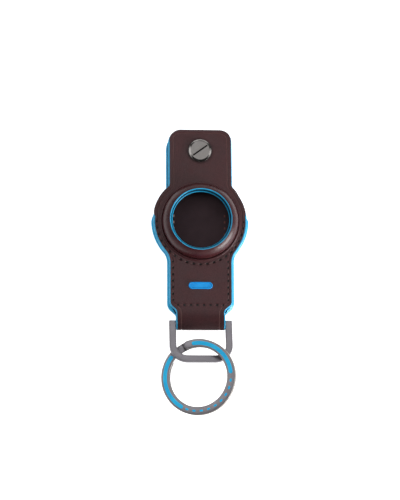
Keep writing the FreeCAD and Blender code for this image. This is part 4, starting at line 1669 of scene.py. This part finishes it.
def enamelSection():
    # a flat pool with a crown: with u across from -1 to 1, it stands proud * (rim + (1 - rim) * (1 - u^4))
    # over the wire
    u = np.linspace(-1, 1, 9)
    rim = enamel["rim"]
    top = np.column_stack((u, enamel["proud"] * (rim + (1 - rim) * (1 - u**4))))
    return np.concatenate((top, [(1, -enamel["depth"]), (-1, -enamel["depth"])]))


def enamelShell(start, sweep, width, step):
    angles, widths = roundTips(start, sweep, width / 2, step)
    surface = np.full(len(angles), coil["rise"] + coil["thickness"] / 2)
    return shellOf(onKeyRing(coilRings(angles, widths, enamelSection(), surface)))


def makeEnamel():
    for name, (node, start, sweep) in enamel["arcs"].items():
        shell = enamelShell(start, sweep, enamel["width"], enamel["arcStep"])
        addPiece(name, *shell, enamelStuff, "enamel", [node], body="key_ring")
    run = math.degrees((enamel["markLength"] - enamel["markWidth"]) / coil["radius"])
    starts = enamel["firstMark"] - enamel["markStep"] * np.arange(enamel["marks"])
    shells = [enamelShell(start, run, enamel["markWidth"], enamel["dashStep"]) for start in starts]
    addPiece("enamelMarks", *joinShells(shells), enamelStuff, "enamel", ["enamel_marks"], body="key_ring")


makeKeyRing()
makeEnamel()
print("key ring made")


def dressNode(node, material):
    slots = frame["nodes"][node].data.materials
    slots.clear()
    slots.append(material)


dressNode("front_lining", liningStuff)
dressNode("dome_inner_ring", plasticStuff)


# Camera, floor and light
shot = {
    "leanY": 9.5,  # degrees that the camera leans towards the key ring
    "leanX": 4.0,  # and towards the left
    "roll": -0.25,
    "distance": 900.0,
    "field": 230.0,  # millimetres seen along the long side of the picture
    "centre": (-0.2, -13.4, 4.0),
}


def makeCamera():
    sensor = 36.0
    away = Vector((-math.sin(math.radians(shot["leanX"])), -math.sin(math.radians(shot["leanY"])), 0))
    away.z = math.sqrt(1 - away.length_squared)
    up = (Vector((0, 1, 0)) - away * away.y).normalized()
    right = up.cross(away)
    data = bpy.data.cameras.new("camera")
    data.sensor_width = sensor
    data.lens = sensor * shot["distance"] / shot["field"]
    data.clip_end = 20
    camera = addObject("camera", data)
    place = Vector(shot["centre"]) * mm + away * shot["distance"] * mm
    roll = Matrix.Rotation(math.radians(shot["roll"]), 4, "Z")
    axes = Matrix((right, up, away)).transposed().to_4x4() @ roll
    camera.matrix_world = Matrix.Translation(place) @ axes
    bpy.context.scene.camera = camera


board = {"half": 3.0, "drop": 0.15, "glow": 0.92, "tones": (0.88, 0.92), "toneScale": 40.0}


def floorLook():
    # pale board with hardly any texture; seen from below it is clear, so that the back shows
    look = Look("floor", {"Roughness": 0.9, "Specular IOR Level": 0.1, "Emission Strength": board["glow"]})
    low, high = ((tone, tone, tone, 1) for tone in board["tones"])
    colour = look.mix(look.noise(board["toneScale"], 3), low, high)
    look.dress({"Base Color": colour, "Emission Color": colour})
    side = look.node("NewGeometry", {}, {}, "Backfacing")
    clear = look.node("BsdfTransparent", {}, {})
    solid = Value(look, look.surface.outputs[0])
    both = look.node("MixShader", {}, {0: side, 1: solid, 2: clear})
    look.plug(look.tree.nodes["Material Output"].inputs["Surface"], both)
    return look.material


def makeFloor():
    half = board["half"]
    corners = [(-half, -half, 0), (half, -half, 0), (half, half, 0), (-half, half, 0)]
    mesh = bpy.data.meshes.new("floor")
    mesh.from_pydata(corners, [], [(0, 1, 2, 3)])
    mesh.transform(Matrix.Translation((0, 0, -board["drop"] * mm)))
    mesh.materials.append(floorLook())
    floor = addObject("floor", mesh)


# The room's light: fall holds a direction's rise, from and to, and then the strength there
room = {"tone": (0.98, 0.97, 0.98, 1), "fall": (0.1, 0.7, 0.75, 0.06)}
# Soft boxes: name, place in metres, size, and power in watts
lights = [
    ("keyBox", (0.95, -0.6, 0.26), (0.75, 0.36), 17.5),
    ("sideBox", (0.85, 0.1, 0.95), (0.5, 0.5), 1.6),
    ("overBox", (0.08, 0.14, 1.15), (0.6, 0.6), 2.0),
    ("fillBox", (-0.75, 0.2, 1.0), (0.7, 0.7), 3.0),
    ("farBox", (0.1, 0.85, 0.9), (1.0, 0.5), 2.5),
]


def makeLights():
    for name, place, size, power in lights:
        data = bpy.data.lights.new(name, "AREA")
        data.shape = "RECTANGLE"
        data.size, data.size_y = size
        data.energy = power
        lamp = addObject(name, data)
        lamp.location = place
        lamp.rotation_euler = (-Vector(place)).to_track_quat("-Z", "Y").to_euler()
        lamp.visible_camera = False
    world = bpy.data.worlds.new("room")
    world.use_nodes = True
    # bright at the horizon and dark overhead, so that flat leather mirrors little of it
    nodes = world.node_tree.nodes
    links = world.node_tree.links
    way = nodes.new("ShaderNodeTexCoord")
    parts = nodes.new("ShaderNodeSeparateXYZ")
    fall = nodes.new("ShaderNodeMapRange")
    for socket, value in zip(("From Min", "From Max", "To Min", "To Max"), room["fall"]):
        fall.inputs[socket].default_value = value
    links.new(way.outputs["Generated"], parts.inputs[0])
    links.new(parts.outputs["Z"], fall.inputs["Value"])
    links.new(fall.outputs[0], nodes["Background"].inputs["Strength"])
    nodes["Background"].inputs["Color"].default_value = room["tone"]
    bpy.context.scene.world = world
    bpy.context.scene.view_settings.view_transform = "Standard"


makeCamera()
makeFloor()
makeLights()
print("camera, floor and lights set")
